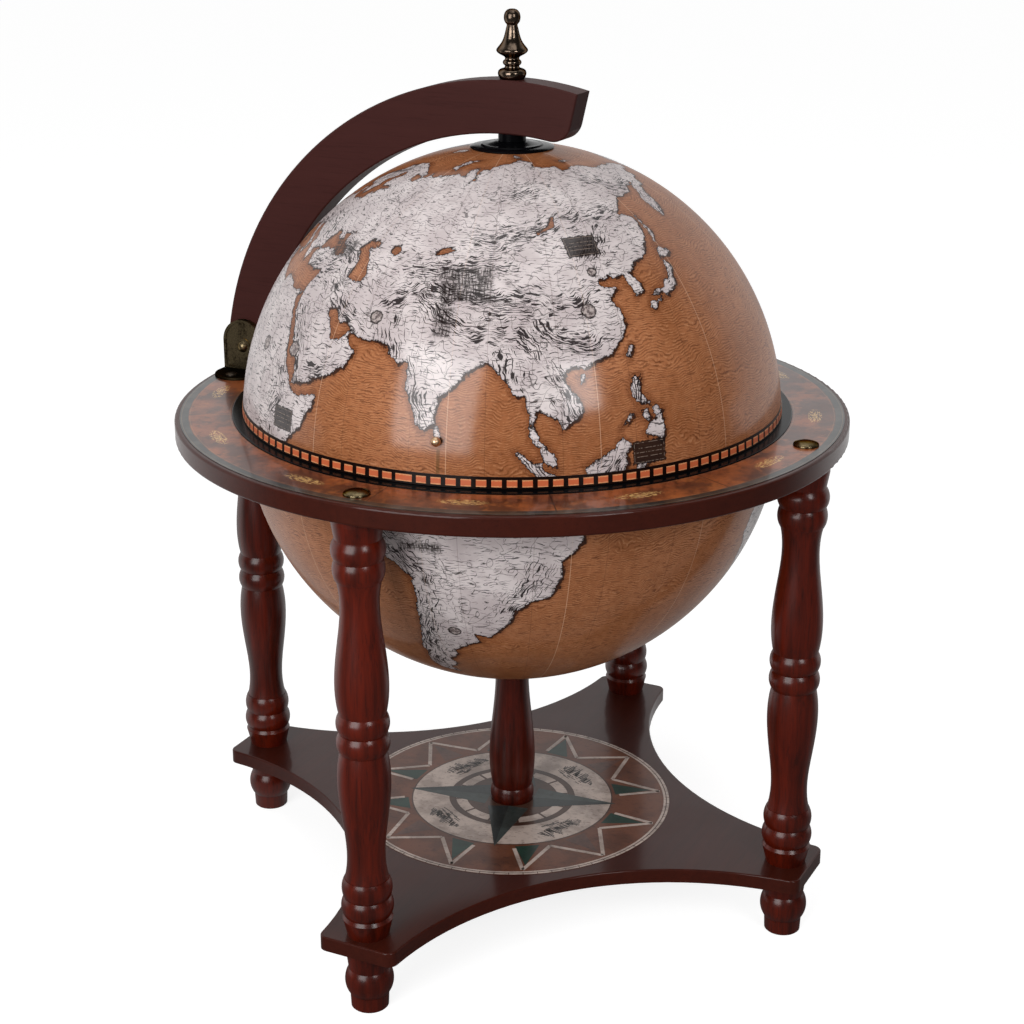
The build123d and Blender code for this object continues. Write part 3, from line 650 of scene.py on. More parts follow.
@dataclass(frozen=True)
class HorizonPaper(Finish):
    """The ring table's printed top: mottled amber with small gold ornaments and a grey outer border."""

    inner: float
    outer: float
    panels: int
    first: float
    ornament: Point = (15.0, 4.6)
    border: float = 5.6

    AMBER = ((78, 40, 26), (140, 74, 38))
    GREY = ((34, 34, 32), (62, 58, 54))
    SEAM = (40, 20, 14)
    GOLD = (216, 176, 112)
    RULE = (160, 126, 92)

    def paint(self, coating: Coating) -> None:
        """Paint the coating from the polar coordinates of the ring.

        Args:
            coating: The material in the making.
        """
        graph, place = coating.graph, coating.place
        polar = graph.group(coating.effects.polar, Vector=place)
        cloud = graph.noise(place, 34.0, 4.0, 0.6)
        fine = graph.noise(place, 160.0, 5.0, 0.65)
        patches = graph.noise(place, 90.0, 3.0, 0.6)
        amber = graph.mix(graph.ramp(cloud, 0.40, 0.64), *(srgb(*tone) for tone in self.AMBER))
        amber = graph.mix(graph.ramp(fine, 0.50, 0.68, 0.0, 0.6), amber, srgb(44, 22, 16))
        amber = graph.mix(graph.ramp(patches, 0.56, 0.70, 0.0, 0.4), amber, srgb(170, 98, 50))
        field = self._panels(graph, polar["Radius"], polar["Azimuth"], amber)
        smooth = coating.worn(0.28, 0.10)
        coating.set(
            Base_Color=self._borders(graph, polar["Radius"], place, field),
            Roughness=smooth["Roughness"], Specular_IOR_Level=0.2, Coat_Roughness=0.09,
        )
        coating.varnish(0.5, 0.35)
        coating.bump(smooth["Height"], 0.1, 0.0002)

    def _panels(self, graph: Graph, reach: Socket, azimuth: Socket, base: Socket) -> Socket:
        """Draw the panels between the borders, each with a small gold ornament.

        Args:
            graph: The material's graph.
            reach: Distance from the axis, in millimetres.
            azimuth: Azimuth in degrees.
            base: The colour under the panels.

        Returns:
            The colour with the panels drawn on it.
        """
        pitch = 360.0 / self.panels
        middle = (self.inner + self.outer) / 2 - 2.0
        degree = middle * math.pi / 180.0
        seam = graph.times(graph.near_line(azimuth, pitch, self.first + pitch / 2), degree)
        tint = graph.mix(graph.below(seam, 0.3, 0.4), base, srgb(*self.SEAM))
        along = graph.times(graph.near_line(azimuth, pitch, self.first), degree)
        off = graph.apart(reach, middle)
        halves = zip((along, off), self.ornament)
        squares = [graph.math("POWER", graph.times(way, 1 / half), 2.0) for way, half in halves]
        lane = graph.join(graph.times(azimuth, degree, 0.34), graph.times(reach, 0.9))
        flecks = graph.ramp(graph.noise(lane, 1.0, 2.0, 0.6), 0.50, 0.56)
        spray = graph.times(flecks, graph.ramp(graph.plus(*squares), 0.55, 1.1, 1.0, 0.0))
        heart = graph.times(graph.below(along, 5.0, 2.0), graph.below(off, 1.3, 0.8))
        gold = graph.larger(spray, graph.times(heart, graph.ramp(flecks, 0.0, 1.0, 0.4, 1.0)))
        return graph.inked(tint, gold, 0.75, self.GOLD)

    def _borders(self, graph: Graph, reach: Socket, place: Socket, base: Socket) -> Socket:
        """Draw the grey outer border and the fine rules.

        Args:
            graph: The material's graph.
            reach: Distance from the axis, in millimetres.
            place: The object's coordinates.
            base: The colour between the borders.

        Returns:
            The colour with the borders on it.
        """
        cloud = graph.ramp(graph.noise(place, 60.0, 3.0, 0.6), 0.4, 0.6)
        grey = graph.mix(cloud, *(srgb(*tone) for tone in self.GREY))
        edge = self.outer - self.border
        edged = graph.mix(graph.ramp(reach, edge, edge + 0.4), base, grey)
        lines = 0.0
        for rule in (self.inner + 1.2, self.outer - 6.2, self.outer - 1.2):
            lines = graph.larger(lines, graph.below(graph.apart(reach, rule), 0.14, 0.2))
        return graph.inked(edged, lines, 0.4, self.RULE)


@dataclass(frozen=True)
class Backdrop(Finish):
    """Pale floor that shows white to the camera and keeps the object's shadow."""

    albedo: float
    lift: float
    dim: float

    def paint(self, coating: Coating) -> None:
        """Paint the coating, lifted to white for camera and mirror rays only.

        Args:
            coating: The material in the making.
        """
        graph = coating.graph
        rays = graph.add("ShaderNodeLightPath").outputs
        mirror = graph.larger(rays["Is Glossy Ray"], rays["Is Transmission Ray"])
        behind = graph.ramp(graph.dot(coating.place, BACKDROP_SIDE), -0.2, 0.5, self.dim, 1.0)
        near = graph.times(mirror, graph.minus(1.0, behind))
        grey = graph.linear(near, -0.85 * self.albedo, self.albedo)
        seen = graph.larger(rays["Is Camera Ray"], graph.times(mirror, behind))
        coating.set(
            Base_Color=graph.join(grey, grey, grey), Roughness=0.9, Specular_IOR_Level=0.0,
            Emission_Color=WHITE, Emission_Strength=graph.times(seen, self.lift),
        )


class Emblem(Enum):
    """Kinds of small engraved picture on the map, and a painted shadow line."""

    PLAQUE = "plaque"
    ROUNDEL = "roundel"
    SKETCH = "sketch"
    # A thin line painted as the lid knob's shadow.
    KNOB_SHADOW = "strip"


@dataclass(frozen=True)
class Plate:
    """A small engraved picture on the map, or a painted shadow line on it."""

    longitude: float
    latitude: float
    width: float
    height: float
    tilt: float = 0.0
    kind: Emblem = Emblem.PLAQUE


@dataclass(frozen=True)
class Chart:
    """How the map lies on one half of the globe."""

    side: int
    meridian_azimuth: float
    equator_rise: float

    def longitude(self, azimuth: Any) -> Any:
        """Return the longitude at an azimuth, from -180 to 180 degrees."""
        return (azimuth - self.meridian_azimuth + 180.0) % 360.0 - 180.0

    def sphere_latitude(self, latitude: Any) -> Any:
        """Return the latitude on the sphere of a latitude on the map."""
        return self.equator_rise + latitude * (90.0 - self.equator_rise) / 90.0

    def map_latitude(self, latitude: Any) -> Any:
        """Return the latitude on the map of a latitude on the sphere."""
        return (latitude - self.equator_rise) * 90.0 / (90.0 - self.equator_rise)

    def direction(self, longitude: Any, latitude: Any) -> np.ndarray:
        """Return unit vectors from the globe's centre.

        Args:
            longitude: Map longitudes in degrees.
            latitude: Map latitudes in degrees.

        Returns:
            An array with one unit vector for each place.
        """
        azimuth = np.radians(np.asarray(longitude, dtype=float) + self.meridian_azimuth)
        height = np.radians(self.sphere_latitude(np.asarray(latitude, dtype=float)))
        flat = np.cos(height)
        return np.stack([flat * np.cos(azimuth), flat * np.sin(azimuth), np.sin(height)], axis=-1)


NORTH_CHART = Chart(side=1, meridian_azimuth=111.0, equator_rise=4.4)
SOUTH_CHART = Chart(side=-1, meridian_azimuth=-104.5, equator_rise=0.0)


@dataclass
class Sheet:
    """The map as it is drawn, with distances in millimetres.

    The spot is a place from the globe's centre, and flat is the same place on the unrolled map. The shift is
    the distance inland from the drawn coast. The shadow is 1 in the lee of a coast, and land is 1 on land.
    """

    graph: Graph
    spot: Socket
    flat: Socket
    shift: Socket
    shadow: Socket
    land: Socket

    def strokes(self, along: Socket, across: Socket, size: Point, share: Any) -> Socket:
        """Draw short tapered engraved strokes.

        Args:
            along: Place along the strokes.
            across: Place across the strokes.
            size: A stroke's usual length and width.
            share: How much of the paper they fill, from 0 to 1.

        Returns:
            1 on a stroke.
        """
        graph = self.graph
        lane = graph.join(graph.times(along, 1.0 / size[0]), graph.times(across, 1.0 / size[1]))
        level = graph.linear(share, -0.30, 0.68)
        return graph.ramp(graph.minus(graph.noise(lane, 1.0, 1.5, 0.55), level), 0.0, 0.012)


@dataclass(frozen=True)
class MapPrint(Finish):
    """An engraved map: pale land with dark hatching on a caramel sea, under gloss varnish."""

    chart: Chart
    plates: tuple[Plate, ...] = ()
    flat_degree: float = 2.3
    near_side: float = 120.0
    grid_step: float = 15.0
    gore: float = 30.0
    gore_start: float = 7.5
    wave_pitch: float = 1.5
    coast_pitch: float = 0.9
    rule_pitch: float = 2.4

    SEA = ((142, 87, 52), (164, 106, 70))
    SEA_LEE = (28, 16, 12)
    PAPER = ((184, 172, 172), (207, 197, 196))
    LAND_INK = (22, 12, 14)
    COAST_INK = (26, 16, 14)
    PLATE_INK = (26, 17, 15)

    def paint(self, coating: Coating) -> None:
        """Paint the coating, which reads the attributes coast, lee, relief, along and across.

        Args:
            coating: The material in the making.
        """
        graph, place = coating.graph, coating.place
        spot = graph.vector("SUBTRACT", place, (0.0, 0.0, GLOBE_Z * MM))
        spot = graph.scaled(spot, (PER_METRE,) * 3)
        x, y, z = graph.split(graph.vector("NORMALIZE", spot))
        azimuth = graph.math("DEGREES", graph.math("ARCTAN2", y, x))
        longitude = graph.minus(azimuth, self.chart.meridian_azimuth)
        height = graph.math("DEGREES", graph.math("ARCSINE", z))
        coarse = graph.times(graph.swing(spot, 0.13, 2.0, 0.55), 5.2)
        wobble = graph.linear(graph.swing(spot, 0.45, 3.0, 0.65), 3.4, coarse)
        shift = graph.plus(graph.carried("coast"), wobble)
        shadow = graph.ramp(graph.plus(graph.carried("lee"), wobble), -0.1, 0.5)
        flat = graph.join(graph.times(longitude, self.flat_degree), graph.times(height, GLOBE_DEGREE))
        sheet = Sheet(graph, spot, flat, shift, shadow, graph.ramp(shift, -0.12, 0.12))
        art = graph.mix(sheet.land, self._sea(sheet), self._land(sheet))
        art = self._grid(sheet, art, longitude, height)
        for plate in self.plates:
            art = self._plate(sheet, art, plate)
        smooth = coating.worn(0.36, 0.08)
        coating.set(
            Base_Color=art, Roughness=smooth["Roughness"], Specular_IOR_Level=0.05,
            Coat_Roughness=0.14,
        )
        coating.varnish(0.72, 0.1)
        coating.bump(smooth["Height"], 0.12, 0.0003)

    def _sea(self, sheet: Sheet) -> Socket:
        """Draw the sea: caramel brown with fine wavy engraving, darker in the lee of the coasts.

        Args:
            sheet: The map.

        Returns:
            The sea's colour.
        """
        graph, spot, shift = sheet.graph, sheet.spot, sheet.shift
        across, level, _ = graph.split(sheet.flat)
        cloud = graph.noise(spot, 0.018, 4.0, 0.55)
        base = graph.mix(graph.ramp(cloud, 0.34, 0.68), *(srgb(*tone) for tone in self.SEA))
        wave = graph.linear(graph.swing(spot, 0.040, 2.0, 0.5), 20.0, level)
        chop = graph.noise(spot, 0.32, 2.0, 0.6)
        wave = graph.linear(graph.minus(chop, 0.5), 2.0, wave)
        crest = graph.near_line(wave, self.wave_pitch)
        broken = graph.ramp(graph.noise(spot, 0.22, 3.0, 0.65), 0.34, 0.62)
        base = graph.inked(base, graph.times(graph.below(crest, 0.2, 0.28), broken), 0.72, (84, 42, 20))
        pale = graph.times(graph.ramp(crest, 0.45, 0.7), graph.ramp(chop, 0.40, 0.62))
        base = graph.inked(base, pale, 0.36, (200, 148, 108))
        flecks = sheet.strokes(across, level, (6.5, 1.2), graph.ramp(cloud, 0.36, 0.66, 0.0, 0.3))
        base = graph.inked(base, flecks, 0.5, (82, 42, 24))
        speck = graph.ramp(graph.noise(spot, 0.9, 2.0, 0.7), 0.36, 0.66, 0.0, 0.16)
        base = graph.mix(speck, base, srgb(112, 62, 36))
        base = graph.mix(graph.ramp(shift, -4.0, 0.0, 0.0, 0.5), base, srgb(104, 54, 26))
        base = graph.inked(base, sheet.shadow, 0.9, self.SEA_LEE)
        rings = graph.below(graph.near_line(shift, self.coast_pitch), 0.12, 0.16)
        return graph.inked(base, graph.times(rings, graph.ramp(shift, -2.9, -1.6)), 0.5, (72, 36, 20))

    def _land(self, sheet: Sheet) -> Socket:
        """Draw the land: off-white paper, engraved ranges, thin borders, rivers and town dots.

        Args:
            sheet: The map.

        Returns:
            The land's colour.
        """
        graph, spot, shift = sheet.graph, sheet.spot, sheet.shift
        relief, along, across = (graph.carried(name) for name in ("relief", "along", "across"))
        cloud = graph.noise(spot, 0.05, 4.0, 0.6)
        paper = graph.mix(graph.ramp(cloud, 0.36, 0.66), *(srgb(*tone) for tone in self.PAPER))
        patch = graph.ramp(graph.noise(spot, 0.09, 2.0, 0.6), 0.34, 0.62)
        strength = graph.times(relief, graph.linear(patch, 0.55, 0.45))
        grey = graph.times(graph.ramp(graph.noise(spot, 0.2, 3.0, 0.7), 0.46, 0.66), 0.25)
        paper = graph.mix(graph.times(strength, grey), paper, srgb(124, 104, 106))
        wander = graph.swing(spot, 0.09, 2.0, 0.5)
        bent = graph.linear(wander, 9.0, across)
        core = graph.ramp(relief, 0.7, 0.97, -0.06, 0.06)
        heavy = sheet.strokes(along, bent, (7.8, 0.84), graph.linear(strength, 0.61, core))
        x, y, _ = graph.split(sheet.flat)
        slope = graph.linear(wander, 7.0, graph.linear(x, 0.04, y))
        light = sheet.strokes(x, slope, (6.4, 0.72), graph.linear(cloud, 0.62, -0.06))
        drawn = graph.larger(heavy, graph.times(light, 0.9))
        crooked = graph.vector("ADD", spot, graph.scaled(graph.join(cloud, patch, grey), (9.0, 4.0, 6.0)))
        borders = graph.below(graph.cells(crooked, 0.034), 0.007, 0.006)
        dashes = graph.ramp(graph.noise(spot, 0.8, 1.0, 0.5), 0.38, 0.44)
        rivers = graph.below(graph.near_line(graph.noise(spot, 0.022, 3.0, 0.55), 0.10), 0.0016, 0.0014)
        towns = graph.below(graph.cells(spot, 0.12, "F1"), 0.07, 0.03)
        thin = graph.larger(graph.times(borders, dashes), graph.times(rivers, 1.2))
        thin = graph.larger(graph.times(thin, 0.6), graph.times(towns, 0.8))
        colour = graph.inked(paper, graph.larger(drawn, thin), 0.95, self.LAND_INK)
        frayed = graph.linear(graph.swing(spot, 1.0, 2.0, 0.7), 5.0, shift)
        colour = graph.mix(graph.ramp(frayed, 0.3, 1.1, 0.85, 0.0), colour, srgb(*self.LAND_INK))
        return graph.mix(graph.below(shift, 0.36, 0.3), colour, srgb(*self.COAST_INK))

    def _grid(self, sheet: Sheet, art: Socket, longitude: Socket, height: Socket) -> Socket:
        """Draw meridians, parallels and the pale seams between the map's gores.

        Args:
            sheet: The map.
            art: The colour under the lines.
            longitude: Map longitude in degrees.
            height: Latitude on the sphere, in degrees.

        Returns:
            The colour with the lines on it.
        """
        graph = sheet.graph
        stretch = 90.0 / (90.0 - self.chart.equator_rise)
        latitude = graph.times(graph.minus(height, self.chart.equator_rise), stretch)
        across = graph.times(graph.math("COSINE", graph.math("RADIANS", height)), GLOBE_DEGREE)
        meridian = graph.times(graph.near_line(longitude, self.grid_step), across)
        parallel = graph.times(graph.near_line(latitude, self.grid_step), GLOBE_DEGREE)
        lines = graph.below(graph.math("MINIMUM", meridian, parallel), 0.14, 0.16)
        art = graph.inked(art, lines, 0.42, (74, 44, 30))
        joint = graph.near_line(longitude, self.gore, self.gore_start)
        seam = graph.below(graph.times(joint, across), 0.17, 0.2)
        pale = graph.times(seam, graph.linear(sheet.land, -0.25, 0.42))
        return graph.mix(pale, art, srgb(226, 188, 156))

    def _plate(self, sheet: Sheet, art: Socket, plate: Plate) -> Socket:
        """Draw one small engraved picture, or a painted shadow line.

        Args:
            sheet: The map.
            art: The colour under the picture.
            plate: The picture.

        Returns:
            The colour with the picture on it.
        """
        graph, spot = sheet.graph, sheet.spot
        centre = Vector(self.chart.direction(plate.longitude, plate.latitude).tolist())
        east = Vector((-centre.y, centre.x, 0.0)).normalized()
        north = centre.cross(east)
        turn = math.radians(plate.tilt)
        u = graph.dot(spot, tuple(east * math.cos(turn) + north * math.sin(turn)))
        v = graph.dot(spot, tuple(north * math.cos(turn) - east * math.sin(turn)))
        front = graph.ramp(graph.dot(spot, tuple(centre)), self.near_side, self.near_side + 1.0)
        ragged = graph.times(graph.swing(spot, 0.6, 3.0, 0.65), 3.0)
        if plate.kind is Emblem.ROUNDEL:
            squares = graph.plus(graph.times(u, u), graph.times(v, v))
            torn = graph.plus(ragged, graph.minus(graph.math("SQRT", squares), plate.width / 2))
            art = graph.inked(art, graph.times(graph.below(torn, 0.0, 0.3), front), 0.9, self.PLATE_INK)
            face = graph.times(graph.below(graph.plus(torn, 0.95), 0.0, 0.3), front)
            tone = graph.ramp(graph.noise(spot, 0.5, 3.0, 0.7), 0.42, 0.58)
            return graph.mix(face, art, graph.mix(tone, srgb(96, 84, 84), srgb(168, 156, 152)))
        wide = graph.minus(graph.math("ABSOLUTE", u), plate.width / 2)
        tall = graph.minus(graph.math("ABSOLUTE", v), plate.height / 2)
        outside = graph.larger(wide, tall)
        # A thin olive line painted straight below the lid knob: a painted shadow of the knob.
        if plate.kind is Emblem.KNOB_SHADOW:
            return graph.inked(art, graph.times(graph.below(outside, 0.0, 0.6), front), 0.6, (84, 58, 26))
        if plate.kind is Emblem.SKETCH:
            hatch = sheet.strokes(v, u, (7.0, 1.1), 0.62)
            cross = sheet.strokes(u, v, (6.0, 1.2), 0.5)
            edge = graph.ramp(graph.linear(ragged, 1.6, outside), -3.0, 0.4, 1.0, 0.0)
            tone = graph.linear(graph.larger(hatch, cross), 0.55, 0.30)
            return graph.mix(graph.times(edge, tone, front), art, srgb(*self.PLATE_INK))
        body = graph.times(graph.below(graph.plus(ragged, outside), 0.0, 0.3), front)
        art = graph.inked(art, body, 0.93, self.PLATE_INK)
        frame = graph.below(graph.math("ABSOLUTE", graph.plus(outside, 1.1)), 0.14, 0.16)
        rules = graph.below(graph.near_line(v, self.rule_pitch), 0.16, 0.2)
        drawn = graph.larger(frame, graph.times(rules, graph.below(outside, -2.4, 0.3)))
        worn = graph.ramp(graph.noise(spot, 0.7, 2.0, 0.6), 0.40, 0.54)
        return graph.inked(art, graph.times(drawn, worn, front), 0.5, (170, 148, 134))


# Each line is longitude and latitude pairs in degrees, and a semicolon parts it from the next.
EURASIA = """
-9,37 -9.5,38.7 -8.8,41 -9.2,43.2 -4,43.5 -1.8,43.4 -1.2,46 -4.5,48.3 -1.6,48.7 -1.8,49.7 .2,49.6 1.6,50.8
4,51.7 5,53.3 8,53.8 8.6,55.5 8.2,57 10.6,57.7 10.4,56.2 9.8,55 11,54 14,54 18.5,54.7 19.9,54.6 21,55.5
21,57.2 22,57.6 23.5,57 24.4,58.3 23.5,59.2 28,59.6 30,60 28,60.6 25,60.2 22.5,59.9 21.3,61 21.5,63
25.3,65 22,65.8 21,64 17.5,62 17.2,60.6 18.8,59.8 16.6,58 16,56.2 14.2,55.4 12.8,56 11.2,58.5 10.5,59.4
8,58.1 5.5,58.8 5,61 8.5,63.5 12.5,66 15,68.2 19,70 25.5,71 31,70.3 36,69.2 41,67.7 40.5,66.4 34,66.6
35,64.4 38,64 40,64.7 40,66 44,66.2 44,68.5 47,67 53.5,68.2 59,68.8 61,69.8 66,68.8 68.5,68.3 67,69.6
67,71.5 69.5,73 72.7,72.8 72.6,70.5 73.5,68.5 72,66.3 74.5,67.5 74,70 75,72.5 80.5,72.5 80.5,73.6 87,75
95,76 104,77.6 113,75.8 111,74 106.5,73.2 113.5,73.5 123,73 127,73.4 129.5,71 133,71.5 139.5,72.3 141,72.7
150,71.5 160,69.6 170,69.9 171,69 178,69.3 180,68.9 185,67.5 190.3,66 187,64.4 182,65.5 180,65 177.5,64.7
179,62.5 174,61.8 170.3,60 166,60.2 163.3,58.2 163,56.2 161.7,55 160,53.2 158.5,52 156.7,51 155.6,53.5
155.6,56.8 160,60.5 163.5,62.4 160,61.8 157,61.7 154,59.5 149,59.5 142.5,59.2 138,56.5 135.3,54.8
140.5,53.7 141.4,52.2 140.5,49 138,46.3 135.5,43.9 132.5,43 130.7,42.3 127.6,39.9 129.4,37 129.2,35.3
126.5,34.4 126.6,37 125,38 125,39.6 121.5,38.9 122,40.5 119,39.2 117.7,38.7 119,37.3 122.5,37.2 119.3,35
120.8,33 121.8,31 121.9,29.5 120,26.5 118,24.3 116,22.9 113.8,22.2 110.5,21.2 110,20.4 109.5,21.5 107,21
105.8,19 108.9,15.3 109.3,12.3 107,10.5 105,8.7 104.8,10.3 102.8,12 101,12.8 100.2,13.4 99.4,10 100.6,7.3
103.3,4.5 104.2,1.4 103.5,1.3 101.3,3 100.3,5.6 98.4,7.9 98.6,12 97.6,15.8 95.3,15.8 94.3,18 92,21
90.5,22.3 88,21.7 86.8,20.8 82.3,16.6 80.2,15.3 80.2,12.8 79.8,10.3 77.6,8.1 76.3,10 74.8,13 73.3,16.5
72.8,19.5 72.6,21.7 70.4,20.8 69,22.3 67,24.6 62,25.1 57,25.7 56.5,27.2 52.5,27.6 50.2,30 48.5,30 48,29.5
50.2,26.6 51.5,25.2 51.6,24.2 54.2,24.2 56.3,26.2 56.6,24.4 59.8,22.5 57.8,19 55.2,17.4 52,15.6 45,12.8
43.3,12.8 42.7,16.5 39,21 37,24.8 34.8,28.3 34.4,31.4 35.7,35 36,36.6 32.5,36.1 30.6,36.8 27.6,36.7
26.3,39.2 27,40.4 29,41.1 32,41.8 35,42 38.5,41 41.5,41.6 39.5,43.6 37.4,44.8 38.2,46.6 39.2,47.2 35,46.3
36.5,45.3 34,44.4 32.6,45.4 33,46.2 30.8,46.5 28.6,43.7 28,42 28.6,41.3 26,40.8 24,40.7 22.9,40.4 23.8,38
22.6,36.6 21.4,37.6 19.4,40.8 19.5,42 15.2,44.2 13.7,45.4 12.4,44.8 14,42.3 16,41.5 18.4,40 16.6,40.4
16.8,38.9 15.8,38 15.6,40 12.3,41.6 10.3,43.3 8.8,44.4 6,43.1 3.2,43.2 3.2,41.8 0,39.6 0,38.6 -2,36.8
-5.5,36 -6.5,37
"""
AFRICA = """
-6,35.8 -2,35.1 3,36.9 10,37.3 11,35 10.2,34 15,32.3 19,30.4 20,32.5 23,32.8 29,30.9 32.3,31.2 34.6,31.4
32.6,29.9 35.5,24 37.3,21 39.7,15.2 43.2,12.3 43.3,11.5 45,10.6 51.2,11.9 50.8,9.5 47.8,4.3 44,1 41,-2
39.2,-4.8 39.4,-8 40.6,-11 40.6,-14.8 37,-17.8 34.8,-20 35.5,-23.8 32.8,-26 32.5,-28.5 30,-31 25.7,-34
20,-34.8 18.3,-34 17.2,-29.5 14.7,-24 14.3,-22 11.8,-17.8 13.6,-12 12.3,-6.1 9,-1 9.7,3.5 8.5,4.6 4.5,6.3
1,5.9 -4,5.2 -7.5,4.4 -11.5,6.8 -13.3,9 -16.7,12.5 -17.4,14.7 -16.2,19 -17,21 -14.5,26 -10,29.5 -9.8,31.5
-6.8,34;
49.3,-12 50.4,-15.5 47.5,-24.8 45,-25.5 43.5,-22 44.4,-16.5 47,-15
"""
NORTH_AMERICA = """
-168,65.6 -163,66.6 -166.5,68.3 -156.5,71.3 -145,70 -135,69 -127,70.3 -123,69.5 -115,68.2 -108,68 -98,67.8
-95.5,69 -94.5,72 -90,69 -85,69.7 -81.5,68 -86,66.3 -94,61.5 -94,58.7 -88,56.7 -82.3,55.2 -82,53
-79.5,51.3 -79,54.5 -76.7,57.2 -78.5,59 -77.5,62.3 -73,62.2 -70,61 -69.5,58.9 -65,59.5 -62,57.2 -60,55
-56,52.5 -58,51.3 -65,50.2 -68,49.3 -65,49.2 -64.5,47 -61.2,45.5 -65.8,43.6 -67,44.7 -70.2,43.5 -70.8,42
-74,40.6 -75.2,38.5 -76,36.9 -75.6,35.2 -78,33.9 -81.2,31.5 -80.2,27 -80.5,25.2 -81.8,26.3 -82.8,28 -84,30
-88,30.3 -90,29.2 -94,29.6 -97.2,27.8 -97.8,22.5 -96,19.2 -94.5,18.2 -91.5,18.5 -90.4,21 -87,21.5 -88,18.3
-88.6,15.9 -84,15.8 -83.3,15 -83.7,11 -82,9 -79.6,9.5 -77.2,8.8 -78,7.3 -80,7.4 -83,8.4 -85.8,10.3
-87.6,13 -92,14.5 -95,16 -99.5,16.7 -105.5,20 -105.5,22.5 -109,25.8 -112.8,30 -114.7,31.6 -113,28.5
-111,25.5 -109.5,23 -112,25 -114.5,27.5 -116,30.5 -118.4,34 -120.6,34.6 -122.5,37.5 -124.3,40.3 -124,46.2
-124.6,48.3 -122.5,47.6 -123,49 -127.5,51 -130,54.5 -134,58.5 -139.5,59.7 -145,60.3 -149.5,60 -151.8,59.3
-151,61 -154,59 -158.5,56 -163,54.8 -158,57.5 -157.5,58.8 -162,58.7 -165,61 -164.5,63 -161,64.3 -166,64.5;
-73,78.3 -60,82 -32,83.5 -20,81.5 -19,77 -22,72 -32,68 -40,65 -43.5,60 -48,61 -53.5,66.5 -54,70 -58,75.5;
-62,66.7 -66,62.5 -72,64 -78,64.5 -73,67.5 -79,70 -89,70.5 -89,73 -80,73.7 -68,70;
-117,70 -114,73 -105,73 -102,69.5 -114,69;
-90,77 -91,81.5 -70,83 -62,82.3 -77,77.5;
-125,72 -122,74.3 -116,73 -122,71.3;
-59,47.7 -55.5,51.5 -53,47 -56,46.9;
-84.8,21.9 -82,23.1 -77,21.5 -74.2,20.2 -77.5,19.9;
-74.4,18.5 -73,19.9 -68.5,18.6 -71.5,17.8
"""
SOUTH_AMERICA = """
-77.6,8.4 -75.5,10.6 -72,12 -71.5,10.9 -68,11.5 -62,10.6 -60,8.3 -57,6 -52,5 -50,1 -48.5,-1 -44.5,-2.7
-40,-2.9 -37,-4.8 -35,-6 -35,-9 -37.2,-11.5 -39,-13.5 -39.2,-17.8 -41,-22 -44.5,-23.2 -48.5,-26
-48.8,-28.5 -52.3,-32.5 -54.5,-34.8 -58.3,-34 -57,-36.5 -62,-39 -65,-41 -63.8,-42.5 -67.5,-46 -65.8,-48
-69,-51 -68.3,-52.5 -68,-54.8 -71.5,-54 -74.5,-52 -75.5,-48.5 -74,-43.5 -73.7,-39.5 -71.5,-33 -70.5,-25
-70.3,-18.4 -76.2,-14 -79.8,-7.5 -81.3,-4.7 -80,-3.2 -80.9,-2 -80,.8 -77.5,3 -77.4,6.5
"""
ARCTIC_ISLANDS = """
-5.5,50.1 1.3,51.2 1.7,52.7 0,53.5 -1.6,55.5 -2,57.6 -3.3,58.6 -5,58.5 -5.6,56 -3.2,54.7 -4.5,53.2 -5,51.8
-3,51.4;
-10,52 -6.3,52.2 -6,54.5 -8,55.2 -10,54;
-24,65.5 -22.5,66.4 -16,66.5 -13.7,65 -18.5,63.4 -22.5,63.9;
51.5,71.5 57,75.5 68.5,77 60,75 56,72.5 57.5,70.7;
11,79 20,80.3 27,80 17,76.7;
95,79 97,81 105,78.8 100,78;
137,75.5 146,75.5 150,75 140,74;
12.5,37.9 15.5,38.2 15,36.8;
8.2,39 8.3,40.9 9.7,40.8 9.5,39.1
"""
ASIAN_ISLANDS = """
129.8,33 131.9,33.5 131.3,31.3 130.2,31.3;
131,34.3 133.2,35.6 136,35.8 137,37.4 138.7,37.5 140,39.5 140.3,41.2 141.4,41.3 142,39.5 141,37.8
140.8,35.8 139,34.7 136.8,34.4 135.7,33.5 134.5,34.6 132,33.9;
132.2,33.4 134.6,34.2 134,33.3 133,32.8;
140,41.5 140.5,43.2 141.7,45.4 144.5,44 145.5,43.3 143.2,42 141.2,42.5;
142,46 142.2,49 142.2,53.5 143.2,54.2 143.3,51 144.5,49 143,47;
79.8,8 80.2,9.7 81.8,7.5 81,6.1 80.1,6.1;
120.1,23 121.5,25.2 121.9,24.9 120.9,22;
108.7,19.3 110.5,20.1 111,19.6 109.5,18.2;
119.8,15.8 120.4,18.9 122.6,18.7 122,15.8 124.7,12.4 121,13.2 119.7,14.6;
121.5,6.8 123.3,9 126,10.2 127,7.4 125.6,5 123.6,6.2;
121.5,12 123.4,12 123.7,8.8 121.6,9.8;
124.3,13 126.3,11.4 125.2,9.7 123.9,11.2;
116.8,8.2 119.4,11.6 119.9,10.6;
109.2,1.5 111.3,2.5 113,3.3 115,5 116.8,7 119.2,5.2 117.8,3.5 118,1 116.5,-2 116,-4 114.5,-4 111.5,-3.2
110,-1.5;
95.3,5.6 98,4 100.5,2.2 103.5,0 106,-3 105.8,-5.8 104.5,-5.8 101.5,-3 99,.5 97,3;
105.3,-6.8 108.5,-6.7 112.8,-7 114.4,-8.5 110,-8.1 106.4,-7.4;
119,-3.5 119.5,-.8 120,1.2 124.8,1.6 121,.4 121,-1 123.3,-.8 121.8,-2 122.8,-4.5 121,-2.8 120.4,-5.5
"""
